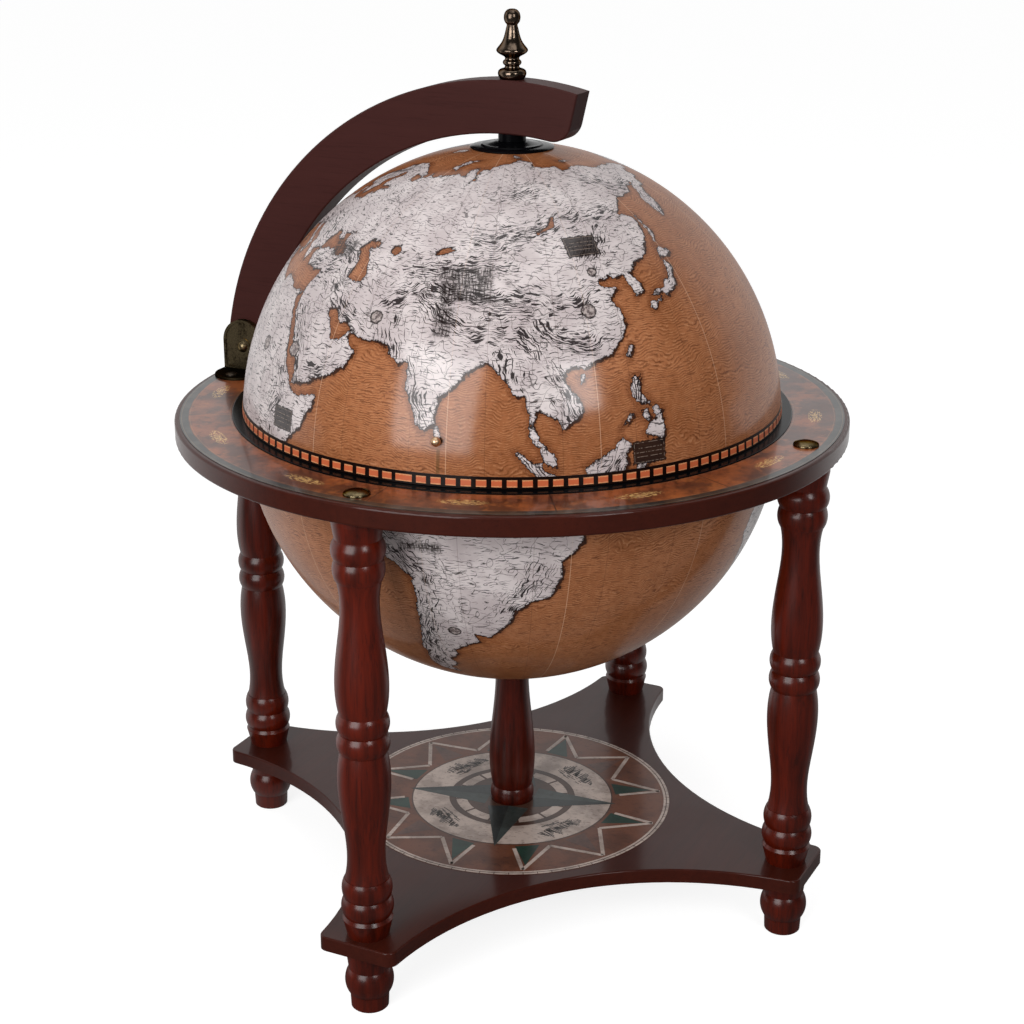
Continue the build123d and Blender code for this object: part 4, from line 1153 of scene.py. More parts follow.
SOUTHERN_LANDS = """
131,-.8 134,-.8 135,-3.3 138,-1.8 144.5,-3.8 147.8,-6 150.8,-10.4 147,-9.5 143.5,-8.5 138,-8.3 137.5,-5
133,-4 134,-2.5 131,-1.5;
113.8,-22.5 114.3,-26.5 115,-30 115.6,-33.8 118,-35 123.5,-33.9 129,-31.7 134,-32.8 136,-34.8 138,-33.5
138.5,-35.6 141,-38.2 146.3,-39 150,-37.5 151.5,-33 153.4,-28 150.8,-23.5 146.5,-19 145.3,-15 142.5,-10.8
141,-15 140,-17.6 136,-15.5 136.8,-12.2 131,-12.2 129,-15 125.5,-14.3 122.3,-18;
144.8,-40.8 148.2,-40.9 147.8,-43.2 146,-43.5;
173,-34.7 175.5,-36.8 178.3,-37.8 177,-39.5 175.2,-41.5 174,-39.4 174.7,-37.4;
172.8,-40.7 174.2,-41.8 171,-44 170.5,-46 168.5,-46.6 166.5,-45.8 170.5,-43;
-180,-78 -160,-78 -150,-76 -125,-73.5 -100,-73 -75,-72 -67,-68 -58,-63.3 -62,-68 -61,-74 -45,-78 -30,-77
-15,-72 0,-70 30,-69.5 50,-66.5 70,-68.5 90,-66.3 115,-66.5 140,-66.7 160,-70 170,-72 165,-78 180,-78
180,-90 -180,-90
"""
LAKES = """
47.5,45.5 49,46.6 53,46.8 53,45 51,44.5 50.3,44 52.8,41.5 53,40 54,38.5 54,37 51,36.7 49,37.5 49,39
49.5,40.3 48,42.5 47,44.3;
58.5,44.2 58.7,46 61,46.6 61.5,45 60,44;
103.6,51.3 108,52.6 110.4,55.7 109.3,55.9 106.8,53.3;
73.5,45.3 77,46.1 79,46.4 77,47 74,46.8;
-92,46.8 -88,48.8 -84.7,47 -87,46.5;
-87.8,42 -87.5,44.5 -85,46 -80.5,45.3 -82,43.2 -84,45.2 -86,43;
32,.3 34,.3 34,-2.5 32,-2.5
"""
RIDGES = """
73,36 78,32 84,28.5 92,28 97,28.5 100,25; 74,38 80,36 90,36 100,36 104,34; 70,41 76,41.5 84,43 92,43.5;
84,49 90,49 98,51 105,52 112,54 120,56; 66,34 70,36 74,38; 44,37 48,33 53,29.5 58,27; 41,43 46,42 49,38
54,36.5; 30,37.5 36,37.5 42,39; 74,20 75,15 77,9.5; 37,27 41,20 44,14; 38,14 39,9 37,6; 104,20 107,15.5
108,12.5; 94,24 95,20; 102,30 104,27 108,26 113,25.5 117,27; 104,34 110,34 113,36; 118,44 121,48 124,52;
140,66 148,63 158,62; 158,54 161,58; 122,55 132,56; 137,36 140,39; -150,63 -140,60.5 -125,54 -116,49
-112,44 -106,39 -105,33 -104,27 -99,19.5 -91,15; -121,40 -118,36 -116,32; -84,34.5 -79,39 -73,43.5 -70,46;
-75,8 -76,3 -78.5,-2 -77,-9 -72,-14 -68,-18 -68,-24 -70,-32 -71,-40 -73,-48 -72,-52; -44,-16 -46,-20
-50,-26; 30,-25 28.5,-30 24,-32; -8,31 -3,33 4,35 9,35.5; 6,45 10,46.5 15,47; 19,49 24,48 26,45.5; 7,60
13,64 18,68; 146,-19 150,-27 149,-36; 136,-4 144,-6; 36,0 35,-6 34,-11; 115,1 114,-1; 99,3 102,-2; 121,17
121,15; 90,33 98,33; 68,24 67,29; 47,16 52,17; 95,62 105,64
"""


class WorldMap:
    """Tells how far a place lies from the coasts and along and across the mountains."""

    LAND = ";".join(
        (EURASIA, AFRICA, NORTH_AMERICA, SOUTH_AMERICA, ARCTIC_ISLANDS, ASIAN_ISLANDS, SOUTHERN_LANDS)
    )
    COAST_STEP = 0.35
    RIDGE_STEP = 0.5
    PAST_EQUATOR = 6.0
    NEAR_POLE = 89.0
    RANGE_GAP = 61.0
    RANGE_REACH = 11.5

    @staticmethod
    def lines(text: str) -> list[np.ndarray]:
        """Return the longitude and latitude pairs of each line in a text, which semicolons part."""
        listed = [line.split() for line in text.split(";")]
        return [np.array([pair.split(",") for pair in line], dtype=float) for line in listed]

    @staticmethod
    def inside(outline: np.ndarray, longitude: np.ndarray, latitude: np.ndarray) -> np.ndarray:
        """Tell which places lie inside an outline.

        Args:
            outline: The outline's pairs.
            longitude: Longitudes of the places.
            latitude: Latitudes of the places.

        Returns:
            A boolean for each place.
        """
        result = np.zeros(longitude.shape, dtype=bool)
        turns = (0.0, 360.0) if outline[:, 0].max() > 180.0 else (0.0,)
        for turn in turns:
            x = longitude + turn
            near = (x >= outline[:, 0].min()) & (x <= outline[:, 0].max())
            near &= (latitude >= outline[:, 1].min()) & (latitude <= outline[:, 1].max())
            px, py = x[near], latitude[near]
            odd = np.zeros(px.shape, dtype=bool)
            for (ax, ay), (bx, by) in zip(outline, np.roll(outline, -1, axis=0)):
                if ay == by:
                    continue
                crosses = (ay > py) != (by > py)
                odd ^= crosses & (px < (bx - ax) * (py - ay) / (by - ay) + ax)
            result[near] |= odd
        return result

    @staticmethod
    def finely(line: np.ndarray, step: float, closed: bool) -> np.ndarray:
        """Return points along a line, a step apart.

        Args:
            line: The line's pairs.
            step: The largest step in degrees.
            closed: Whether the last point joins the first.

        Returns:
            The pairs along the line.
        """
        points = []
        ends = np.roll(line, -1, axis=0) if closed else line[1:]
        for a, b in zip(line, ends):
            count = max(1, int(math.ceil(float(np.abs(b - a).max()) / step)))
            share = np.arange(count)[:, None] / count
            points.append(a + (b - a) * share)
        return np.concatenate(points)

    @staticmethod
    def finder(places: np.ndarray) -> kdtree.KDTree:
        """Make a tree that finds the nearest of some places.

        Args:
            places: The places.

        Returns:
            The tree, which knows each place by its number.
        """
        tree = kdtree.KDTree(len(places))
        for number, place in enumerate(places.tolist()):
            tree.insert(place, number)
        tree.balance()
        return tree

    def coast(self, chart: Chart, units: np.ndarray) -> np.ndarray:
        """Return the distance inland of each place, negative at sea.

        Args:
            chart: How the map lies on the globe.
            units: Unit vectors to the places.

        Returns:
            The signed distances in millimetres.
        """
        azimuth = np.degrees(np.arctan2(units[:, 1], units[:, 0]))
        longitude = chart.longitude(azimuth)
        latitude = chart.map_latitude(np.degrees(np.arcsin(np.clip(units[:, 2], -1.0, 1.0))))
        land, lakes = self.lines(self.LAND), self.lines(LAKES)
        dry = np.zeros(longitude.shape, dtype=bool)
        for outline in land:
            dry |= self.inside(outline, longitude, latitude)
        for outline in lakes:
            dry &= ~self.inside(outline, longitude, latitude)
        shore = np.concatenate([self.finely(outline, self.COAST_STEP, True) for outline in land + lakes])
        kept = (shore[:, 1] * chart.side > -self.PAST_EQUATOR) & (np.abs(shore[:, 1]) < self.NEAR_POLE)
        shore = shore[kept & (np.abs(shore[:, 0]) != 180.0)]
        tree = self.finder(chart.direction(shore[:, 0], shore[:, 1]))
        away = np.array([tree.find(unit)[2] for unit in units.tolist()]) * GLOBE_RADIUS
        return np.where(dry, away, -away)

    def ranges(self, chart: Chart, units: np.ndarray) -> tuple[np.ndarray, np.ndarray, np.ndarray]:
        """Return how mountainous each place is, and how far it lies along and across the nearest range.

        Args:
            chart: How the map lies on the globe.
            units: Unit vectors to the places.

        Returns:
            The relief from 0 to 1, and the two distances in millimetres.
        """
        spots, ways, runs = [], [], []
        for number, ridge in enumerate(self.lines(RIDGES)):
            pairs = self.finely(ridge, self.RIDGE_STEP, False)
            line = chart.direction(pairs[:, 0], pairs[:, 1])
            way = np.gradient(line, axis=0)
            way /= np.linalg.norm(way, axis=1, keepdims=True)
            steps = np.linalg.norm(np.diff(line, axis=0, prepend=line[:1]), axis=1)
            spots.append(line)
            ways.append(way)
            runs.append(np.cumsum(steps) * GLOBE_RADIUS + self.RANGE_GAP * number)
        spot, way, run = np.concatenate(spots), np.concatenate(ways), np.concatenate(runs)
        tree = self.finder(spot)
        near = np.array([tree.find(unit)[1] for unit in units.tolist()])
        gap = (units - spot[near]) * GLOBE_RADIUS
        along = run[near] + np.sum(gap * way[near], axis=1)
        across = np.sum(gap * np.cross(spot[near], way[near]), axis=1)
        relief = np.exp(-((np.linalg.norm(gap, axis=1) / self.RANGE_REACH) ** 2))
        return relief, along, across


def new_object(name: str, mesh: Mesh, materials: Sequence[Material]) -> Object:
    """Put a mesh in the scene.

    Args:
        name: The piece's name.
        mesh: Its mesh, in the shared frame.
        materials: Its materials, in slot order.

    Returns:
        The new object.
    """
    piece = bpy.data.objects.new(name, mesh)
    bpy.context.scene.collection.objects.link(piece)
    for material in materials:
        mesh.materials.append(material)
    return piece


def soften(mesh: Mesh, crease: float) -> None:
    """Shade a mesh smooth, with sharp edges past an angle in degrees."""
    mesh.shade_smooth()
    mesh.set_sharp_from_angle(angle=math.radians(crease))


def dress(node: str, material: Material, frame: dict[str, Any]) -> None:
    """Give a CAD node one material.

    Args:
        node: The node's name.
        material: The material.
        frame: The loaded frame.
    """
    piece = frame["nodes"][node]
    if not piece.material_slots:
        piece.data.materials.append(material)
    for slot in piece.material_slots:
        slot.material = material
    LOG.info("dressed %s in %s", node, material.name)


def stand_for(piece: Object, body: str, slot: str, *nodes: str) -> None:
    """Make a piece ride on a body and let it stand for CAD nodes.

    Args:
        piece: The piece.
        body: The body it moves with.
        slot: The record's material slot; not used.
        nodes: The CAD nodes it stands for.
    """
    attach(piece, body)
    if nodes:
        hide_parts(*nodes)
    LOG.info("built %s on %s", piece.name, body)


def winding(outline: Sequence[Point]) -> float:
    """Return twice a closed outline's area, negative where it runs clockwise."""
    return sum(a[0] * b[1] - b[0] * a[1] for a, b in zip(outline, [*outline[1:], outline[0]]))


@dataclass
class Turning:
    """A piece turned about one upright axis, or the same piece about several."""

    name: str
    profile: tuple[Point, ...]
    centres: tuple[Point, ...] = ((0.0, 0.0),)
    segments: int = 96
    crease: float = 38.0

    def build(self, material: Material) -> Object:
        """Build the piece from its closed profile of radii and heights.

        Args:
            material: What it is finished with.

        Returns:
            The new piece.
        """
        outward = winding(self.profile) > 0
        turns = [math.tau * i / self.segments for i in range(self.segments)]
        points, faces = [], []
        for x, y in self.centres:
            rows = []
            for r, z in self.profile:
                first = len(points)
                ring = turns if r > 0.0 else turns[:1]
                points += [((x + r * math.cos(t)) * MM, (y + r * math.sin(t)) * MM, z * MM) for t in ring]
                rows.append([first + i % len(ring) for i in range(self.segments)])
            for here, after in zip(rows, rows[1:] + rows[:1]):
                for i in range(self.segments):
                    j = (i + 1) % self.segments
                    face = list(dict.fromkeys((here[i], here[j], after[j], after[i])))
                    if len(face) > 2:
                        faces.append(face if outward else face[::-1])
        mesh = bpy.data.meshes.new(self.name)
        mesh.from_pydata(points, [], faces)
        soften(mesh, self.crease)
        return new_object(self.name, mesh, [material])


@dataclass
class Repeat:
    """Places a small block many times round the vertical axis with Geometry Nodes."""

    tree: NodeTree | None = field(default=None, init=False)

    def _build(self) -> NodeTree:
        """Build the node tree, with named inputs for its sizes.

        Returns:
            The tree.
        """
        tree = bpy.data.node_groups.new("radial_repeat", "GeometryNodeTree")
        sizes = ("Radius", "Height", "Width", "Depth", "Rise", "Lean", "Start", "Step")
        kinds = {"Geometry": "Geometry", "Count": "Int", **dict.fromkeys(sizes, "Float")}
        kinds["Material"] = "Material"
        for label, kind in kinds.items():
            tree.interface.new_socket(label, in_out="INPUT", socket_type=f"NodeSocket{kind}")
        tree.interface.new_socket("Geometry", in_out="OUTPUT", socket_type="NodeSocketGeometry")
        graph = Graph(tree)
        given, out = graph.add("NodeGroupInput").outputs, graph.add("NodeGroupOutput")
        number = graph.add("GeometryNodeInputIndex").outputs[0]
        angle = graph.linear(number, given["Step"], given["Start"])
        x = graph.times(graph.math("COSINE", angle), given["Radius"])
        y = graph.times(graph.math("SINE", angle), given["Radius"])
        spots = {"Count": given["Count"], "Position": graph.join(x, y, given["Height"])}
        points = graph.add("GeometryNodePoints", spots)
        size = graph.join(given["Depth"], given["Width"], given["Rise"])
        block = graph.add("GeometryNodeMeshCube", {"Size": size})
        turn = graph.join(0.0, given["Lean"], angle)
        placing = {"Points": points.outputs[0], "Instance": block.outputs[0], "Rotation": turn}
        spread = graph.add("GeometryNodeInstanceOnPoints", placing)
        real = graph.add("GeometryNodeRealizeInstances", {"Geometry": spread.outputs[0]})
        finish = {"Geometry": real.outputs[0], "Material": given["Material"]}
        graph.feed(out, Geometry=graph.add("GeometryNodeSetMaterial", finish).outputs[0])
        return tree

    def make(self, name: str, material: Material, **sizes: Any) -> Object:
        """Make one plain mesh of repeated blocks.

        Args:
            name: The piece's name.
            material: The blocks' material.
            sizes: Values of the tree's inputs by name.

        Returns:
            The new piece.
        """
        if self.tree is None:
            self.tree = self._build()
        carrier = bpy.data.objects.new(name, bpy.data.meshes.new(name + "_seed"))
        bpy.context.scene.collection.objects.link(carrier)
        modifier = carrier.modifiers.new("repeat", "NODES")
        modifier.node_group = self.tree
        inputs = [item for item in self.tree.interface.items_tree if item.in_out == "INPUT"]
        sockets = {item.name: item.identifier for item in inputs}
        for label, value in {**sizes, "Material": material}.items():
            modifier[sockets[label]] = value
        graph = bpy.context.evaluated_depsgraph_get()
        mesh = bpy.data.meshes.new_from_object(carrier.evaluated_get(graph), depsgraph=graph)
        carrier.modifiers.remove(modifier)
        carrier.data = mesh
        return carrier


@dataclass
class GlobeShell:
    """One printed half of the globe: a fine shell with an outer map and an inner lining."""

    name: str
    chart: Chart
    edge_z: float
    hole_radius: float
    columns: int = 560
    rows: int = 134
    inner_rows: int = 22
    lee_step: float = 1.2
    crease: float = 40.0

    def build(self, world: WorldMap, outside: Material, inside: Material) -> Object:
        """Build the shell's mesh and its map attributes.

        Args:
            world: The map's outlines.
            outside: Material of the printed face.
            inside: Material of the inner face.

        Returns:
            The new piece.
        """
        outer = self._surface(GLOBE_RADIUS, self.rows)
        inner = self._surface(GLOBE_RADIUS - GLOBE_WALL, self.inner_rows)
        first = len(outer)
        faces = [self._strips(0, self.rows, False), self._strips(first, self.inner_rows, True)]
        faces.append(self._joint(0, first, False))
        faces.append(self._joint(self.rows * self.columns, first + self.inner_rows * self.columns, True))
        quads = np.concatenate(faces)
        slots = np.zeros(len(quads), dtype=np.int32)
        slots[len(faces[0]):len(faces[0]) + len(faces[1])] = 1
        mesh = bpy.data.meshes.new(self.name)
        mesh.from_pydata((np.concatenate([outer, inner]) * MM).tolist(), [], quads.tolist())
        mesh.polygons.foreach_set("material_index", slots)
        units = (outer - np.array([0.0, 0.0, GLOBE_Z])) / GLOBE_RADIUS
        fields = {
            "coast": world.coast(self.chart, units),
            "lee": world.coast(self.chart, self._windward(units)),
            **dict(zip(("relief", "along", "across"), world.ranges(self.chart, units))),
        }
        padding = np.zeros(len(inner))
        for label, values in fields.items():
            layer = mesh.attributes.new(label, "FLOAT", "POINT")
            layer.data.foreach_set("value", np.concatenate([values, padding]).astype(np.float32))
        soften(mesh, self.crease)
        return new_object(self.name, mesh, [outside, inside])

    def _windward(self, units: np.ndarray) -> np.ndarray:
        """Return the places a step to the north west of some others.

        Args:
            units: Unit vectors to the places.

        Returns:
            Unit vectors to the places beside them.
        """
        east = np.stack([-units[:, 1], units[:, 0], np.zeros(len(units))], axis=-1)
        moved = units + (np.array([0.0, 0.0, 1.0]) - east) * (self.lee_step / GLOBE_RADIUS)
        return moved / np.linalg.norm(moved, axis=1, keepdims=True)

    def _surface(self, radius: float, rows: int) -> np.ndarray:
        """Return the points of one face, row by row from the rim to the pole hole.

        Args:
            radius: The face's radius.
            rows: How many rows of quads it has.

        Returns:
            The points in millimetres.
        """
        rim = math.asin((self.edge_z - GLOBE_Z) / radius)
        pole = self.chart.side * math.acos(self.hole_radius / radius)
        height = np.linspace(rim, pole, rows + 1)[:, None]
        turn = (np.arange(self.columns) * math.tau / self.columns)[None, :]
        x = radius * np.cos(height) * np.cos(turn)
        y = radius * np.cos(height) * np.sin(turn)
        z = GLOBE_Z + radius * np.sin(height) * np.ones_like(turn)
        return np.stack([x, y, z], axis=-1).reshape(-1, 3)

    def _strips(self, first: int, rows: int, inward: bool) -> np.ndarray:
        """Return the quads of one face, pointing away from the shell's wall.

        Args:
            first: Number of the face's first point.
            rows: How many rows of quads it has.
            inward: Whether it is the inner face.

        Returns:
            The quads.
        """
        row = np.arange(rows)[:, None] * self.columns
        here = np.arange(self.columns)[None, :]
        after = (here + 1) % self.columns
        corners = [row + here, row + after, row + after + self.columns, row + here + self.columns]
        quads = np.stack(corners, axis=-1).reshape(-1, 4) + first
        return quads[:, ::-1] if inward == (self.chart.side > 0) else quads

    def _joint(self, outer: int, inner: int, pole: bool) -> np.ndarray:
        """Return the quads that join the two faces at the rim or round the pole hole.

        Args:
            outer: Number of the edge's first point on the outer face.
            inner: Its number on the inner face.
            pole: Whether the edge is the pole hole's.

        Returns:
            The quads.
        """
        here = np.arange(self.columns)
        after = (here + 1) % self.columns
        quads = np.stack([outer + here, inner + here, inner + after, outer + after], axis=-1)
        return quads[:, ::-1] if pole == (self.chart.side > 0) else quads


@dataclass
class Rose:
    """The printed compass rose under the column, built of thin inked layers."""

    radius: float = 103.7
    border: float = 100.0
    heart: float = 65.6
    hub: float = 30.0
    band: Point = (37.0, 41.5)
    star: float = 69.0
    hole: float = 14.3
    axis: float = -73.2
    layer: float = 0.02
    ring_step: float = 3.0
    ticks: int = 72
    spokes: int = 12
    hills: int = 4
    hill_strokes: int = 9
    waves: int = 20
    vignette: float = 53.5
    seed: int = 41
    points: list[tuple[float, float, float]] = field(default_factory=list, init=False)
    faces: list[list[int]] = field(default_factory=list, init=False)
    inks: list[Colour] = field(default_factory=list, init=False)
    floor: float = field(default=0.0, init=False)
    bottom: float = field(default=0.0, init=False)

    CREAM = (192.0, 175.0, 165.0)
    BROWN = (104.0, 60.0, 40.0)
    UMBER = (74.0, 50.0, 40.0)
    PINE = (22.0, 52.0, 42.0)
    SLATE = (92.0, 62.0, 52.0)
    INK = (48.0, 40.0, 38.0)
    ZIGZAG = ((0.0, 97.8), (16.0, 71.5), (31.8, 98.0), (34.5, 71.0))
    STAR_SHADES = ((-1.0, (40.0, 46.0, 46.0)), (1.0, (60.0, 68.0, 66.0)))
    SHEET, FIELD, LINE, MARK, ARM = range(5)
    LAYERS = 6

    def prism(self, outline: Sequence[Point], level: int, ink: Colour) -> None:
        """Add a flat prism.

        Args:
            outline: Its corners in millimetres, either way round.
            level: Its layer, counted up from the sheet.
            ink: Its colour.
        """
        corners = list(outline) if winding(outline) > 0 else list(reversed(outline))
        first, count = len(self.points), len(corners)
        for height in (self.floor - self.layer, self.floor + level * self.layer):
            self.points += [(x, y, height) for x, y in corners]
        self.faces.append([first + count + i for i in range(count)])
        self.faces.append([first + i for i in reversed(range(count))])
        for i in range(count):
            j = (i + 1) % count
            self.faces.append([first + i, first + j, first + count + j, first + count + i])
        self.inks += [ink] * (count + 2)

    def ring(self, inner: float, outer: float, level: int, ink: Colour) -> None:
        """Add a ring as a row of short prisms joined end to end.

        Args:
            inner: Inner radius.
            outer: Outer radius.
            level: Its layer. The sheet itself reaches down to the shelf.
            ink: Its colour.
        """
        count = round(360.0 / self.ring_step)
        first = len(self.points)
        bottom = self.bottom if level == self.SHEET else self.floor - self.layer
        top = self.floor + level * self.layer
        for i in range(count):
            for reach, height in ((inner, bottom), (outer, bottom), (outer, top), (inner, top)):
                self.points.append((*self.at(self.ring_step * i, reach), height))
        for i in range(count):
            a, b = first + 4 * i, first + 4 * ((i + 1) % count)
            for k in range(4):
                n = (k + 1) % 4
                self.faces.append([a + n, b + n, b + k, a + k])
        self.inks += [ink] * (4 * count)

    def at(self, azimuth: float, reach: float) -> Point:
        """Return the point at an azimuth and a distance from the axis."""
        return (reach * math.cos(math.radians(azimuth)), reach * math.sin(math.radians(azimuth)))

    def stroke(self, a: Point, b: Point, width: float, level: int, ink: Colour) -> None:
        """Add a straight stroke.

        Args:
            a: One end.
            b: The other end.
            width: Its width.
            level: Its layer.
            ink: Its colour.
        """
        along = Vector((b[0] - a[0], b[1] - a[1]))
        across = Vector((-along.y, along.x)).normalized() * width / 2
        corners = [(a[0] - across.x, a[1] - across.y), (b[0] - across.x, b[1] - across.y)]
        corners += [(b[0] + across.x, b[1] + across.y), (a[0] + across.x, a[1] + across.y)]
        self.prism(corners, level, ink)

    def build(self, material: Material) -> Object:
        """Build the whole print.

        Args:
            material: The printed paper's material.

        Returns:
            The new piece.
        """
        low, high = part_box("compass_print")
        self.floor = high[2] / MM - self.LAYERS * self.layer
        self.bottom = low[2] / MM
        self.ring(self.hole, self.radius, self.SHEET, self.BROWN)
        self._border()
        for quarter in range(4):
            middle = self.axis + 45.0 + 90.0 * quarter
            self._spikes(middle)
            self._vignette(middle, quarter)
        self._heart()
        for quarter in range(4):
            self._arm(self.axis + 90.0 * quarter)
        mesh = bpy.data.meshes.new("compass_rose")
        mesh.from_pydata([(x * MM, y * MM, z * MM) for x, y, z in self.points], [], self.faces)
        colours = mesh.color_attributes.new("ink", "FLOAT_COLOR", "CORNER")
        values = []
        for face, ink in zip(self.faces, self.inks):
            values += list(srgb(*ink)) * len(face)
        colours.data.foreach_set("color", values)
        return new_object("compass_rose", mesh, [material])

    def _border(self) -> None:
        """Add the pale border ring with its fine lines and ticks."""
        self.ring(self.border, self.radius - 0.05, self.FIELD, self.CREAM)
        self.ring(self.border + 1.5, self.border + 2.1, self.LINE, self.UMBER)
        for i in range(self.ticks):
            turn = 360.0 / self.ticks * i
            ends = (self.at(turn, self.border + 1.2), self.at(turn, self.border + 3.6))
            self.stroke(*ends, 0.5, self.MARK, self.UMBER)

    def _spikes(self, middle: float) -> None:
        """Add one quarter of the pale zigzag and the dark triangles inside it.

        Args:
            middle: Azimuth of the quarter's middle.
        """
        corners = [*((-turn, reach) for turn, reach in self.ZIGZAG[:0:-1]), *self.ZIGZAG]
        line = [self.at(middle + turn, reach) for turn, reach in corners]
        for turn, ink in ((-27.5, self.PINE), (0.0, self.SLATE), (27.5, self.PINE)):
            tip = self.at(middle + turn * 1.11, 93.0)
            feet = [self.at(middle + turn + wide, 68.5) for wide in (-6.6, 6.6)]
            self.prism([tip, *feet], self.FIELD, ink)
        for a, b in zip(line, line[1:]):
            self.stroke(a, b, 2.5, self.LINE, self.CREAM)

    def _heart(self) -> None:
        """Add the rings round the column, and the spokes between the two inner ones."""
        self.ring(self.heart - 0.2, self.heart + 0.8, self.LINE, self.UMBER)
        self.ring(self.hole, self.heart, self.FIELD, self.CREAM)
        self.ring(*self.band, self.LINE, self.UMBER)
        self.ring(self.hole, self.hub, self.LINE, self.UMBER)
        for i in range(self.spokes):
            turn = self.axis + 360.0 / self.spokes * (i + 0.5)
            ends = (self.at(turn, self.hub - 0.2), self.at(turn, self.band[0] + 0.2))
            self.stroke(*ends, 1.6, self.MARK, self.UMBER)

    def _arm(self, azimuth: float) -> None:
        """Add one arm of the star, dark on one side and darker on the other.

        Args:
            azimuth: Where it points.
        """
        tip, root = self.at(azimuth, self.star), self.at(azimuth, self.hole)
        for side, ink in self.STAR_SHADES:
            self.prism([root, self.at(azimuth + side * 40.0, self.hole + 6.5), tip], self.ARM, ink)

    def _vignette(self, azimuth: float, number: int) -> None:
        """Add a small engraved landscape of hills and water between the arms.

        Args:
            azimuth: Where its middle lies.
            number: Which of the four it is.
        """
        draw = np.random.default_rng(self.seed + number)
        centre = Vector(self.at(azimuth, self.vignette))
        out = centre.normalized()
        right = Vector((-out.y, out.x)) * -1.0

        def spot(u: float, v: float) -> Point:
            """Return the point at a place within the vignette."""
            place = centre + right * u + out * v
            return (place.x, place.y)

        for hill in range(self.hills):
            middle = -10.5 + 7.0 * hill + float(draw.uniform(-1.2, 1.2))
            top = float(draw.uniform(3.0, 8.5))
            wide = float(draw.uniform(4.4, 6.4))
            for stroke in range(self.hill_strokes):
                share = (2 * stroke + 1 - self.hill_strokes) / self.hill_strokes
                reach = top * (1.0 - abs(share)) + float(draw.uniform(-0.6, 0.6))
                lean = float(draw.uniform(0.6, 2.2))
                a, b = spot(middle + share * wide, reach), spot(middle + share * wide + lean, -2.4)
                self.stroke(a, b, 0.75, self.LINE, self.INK)
        for wave in range(self.waves):
            u, v = float(draw.uniform(-14.0, 9.0)), -2.8 - 0.75 * (wave % 8)
            self.stroke(spot(u, v), spot(u + float(draw.uniform(2.0, 7.0)), v), 0.6, self.LINE, self.INK)


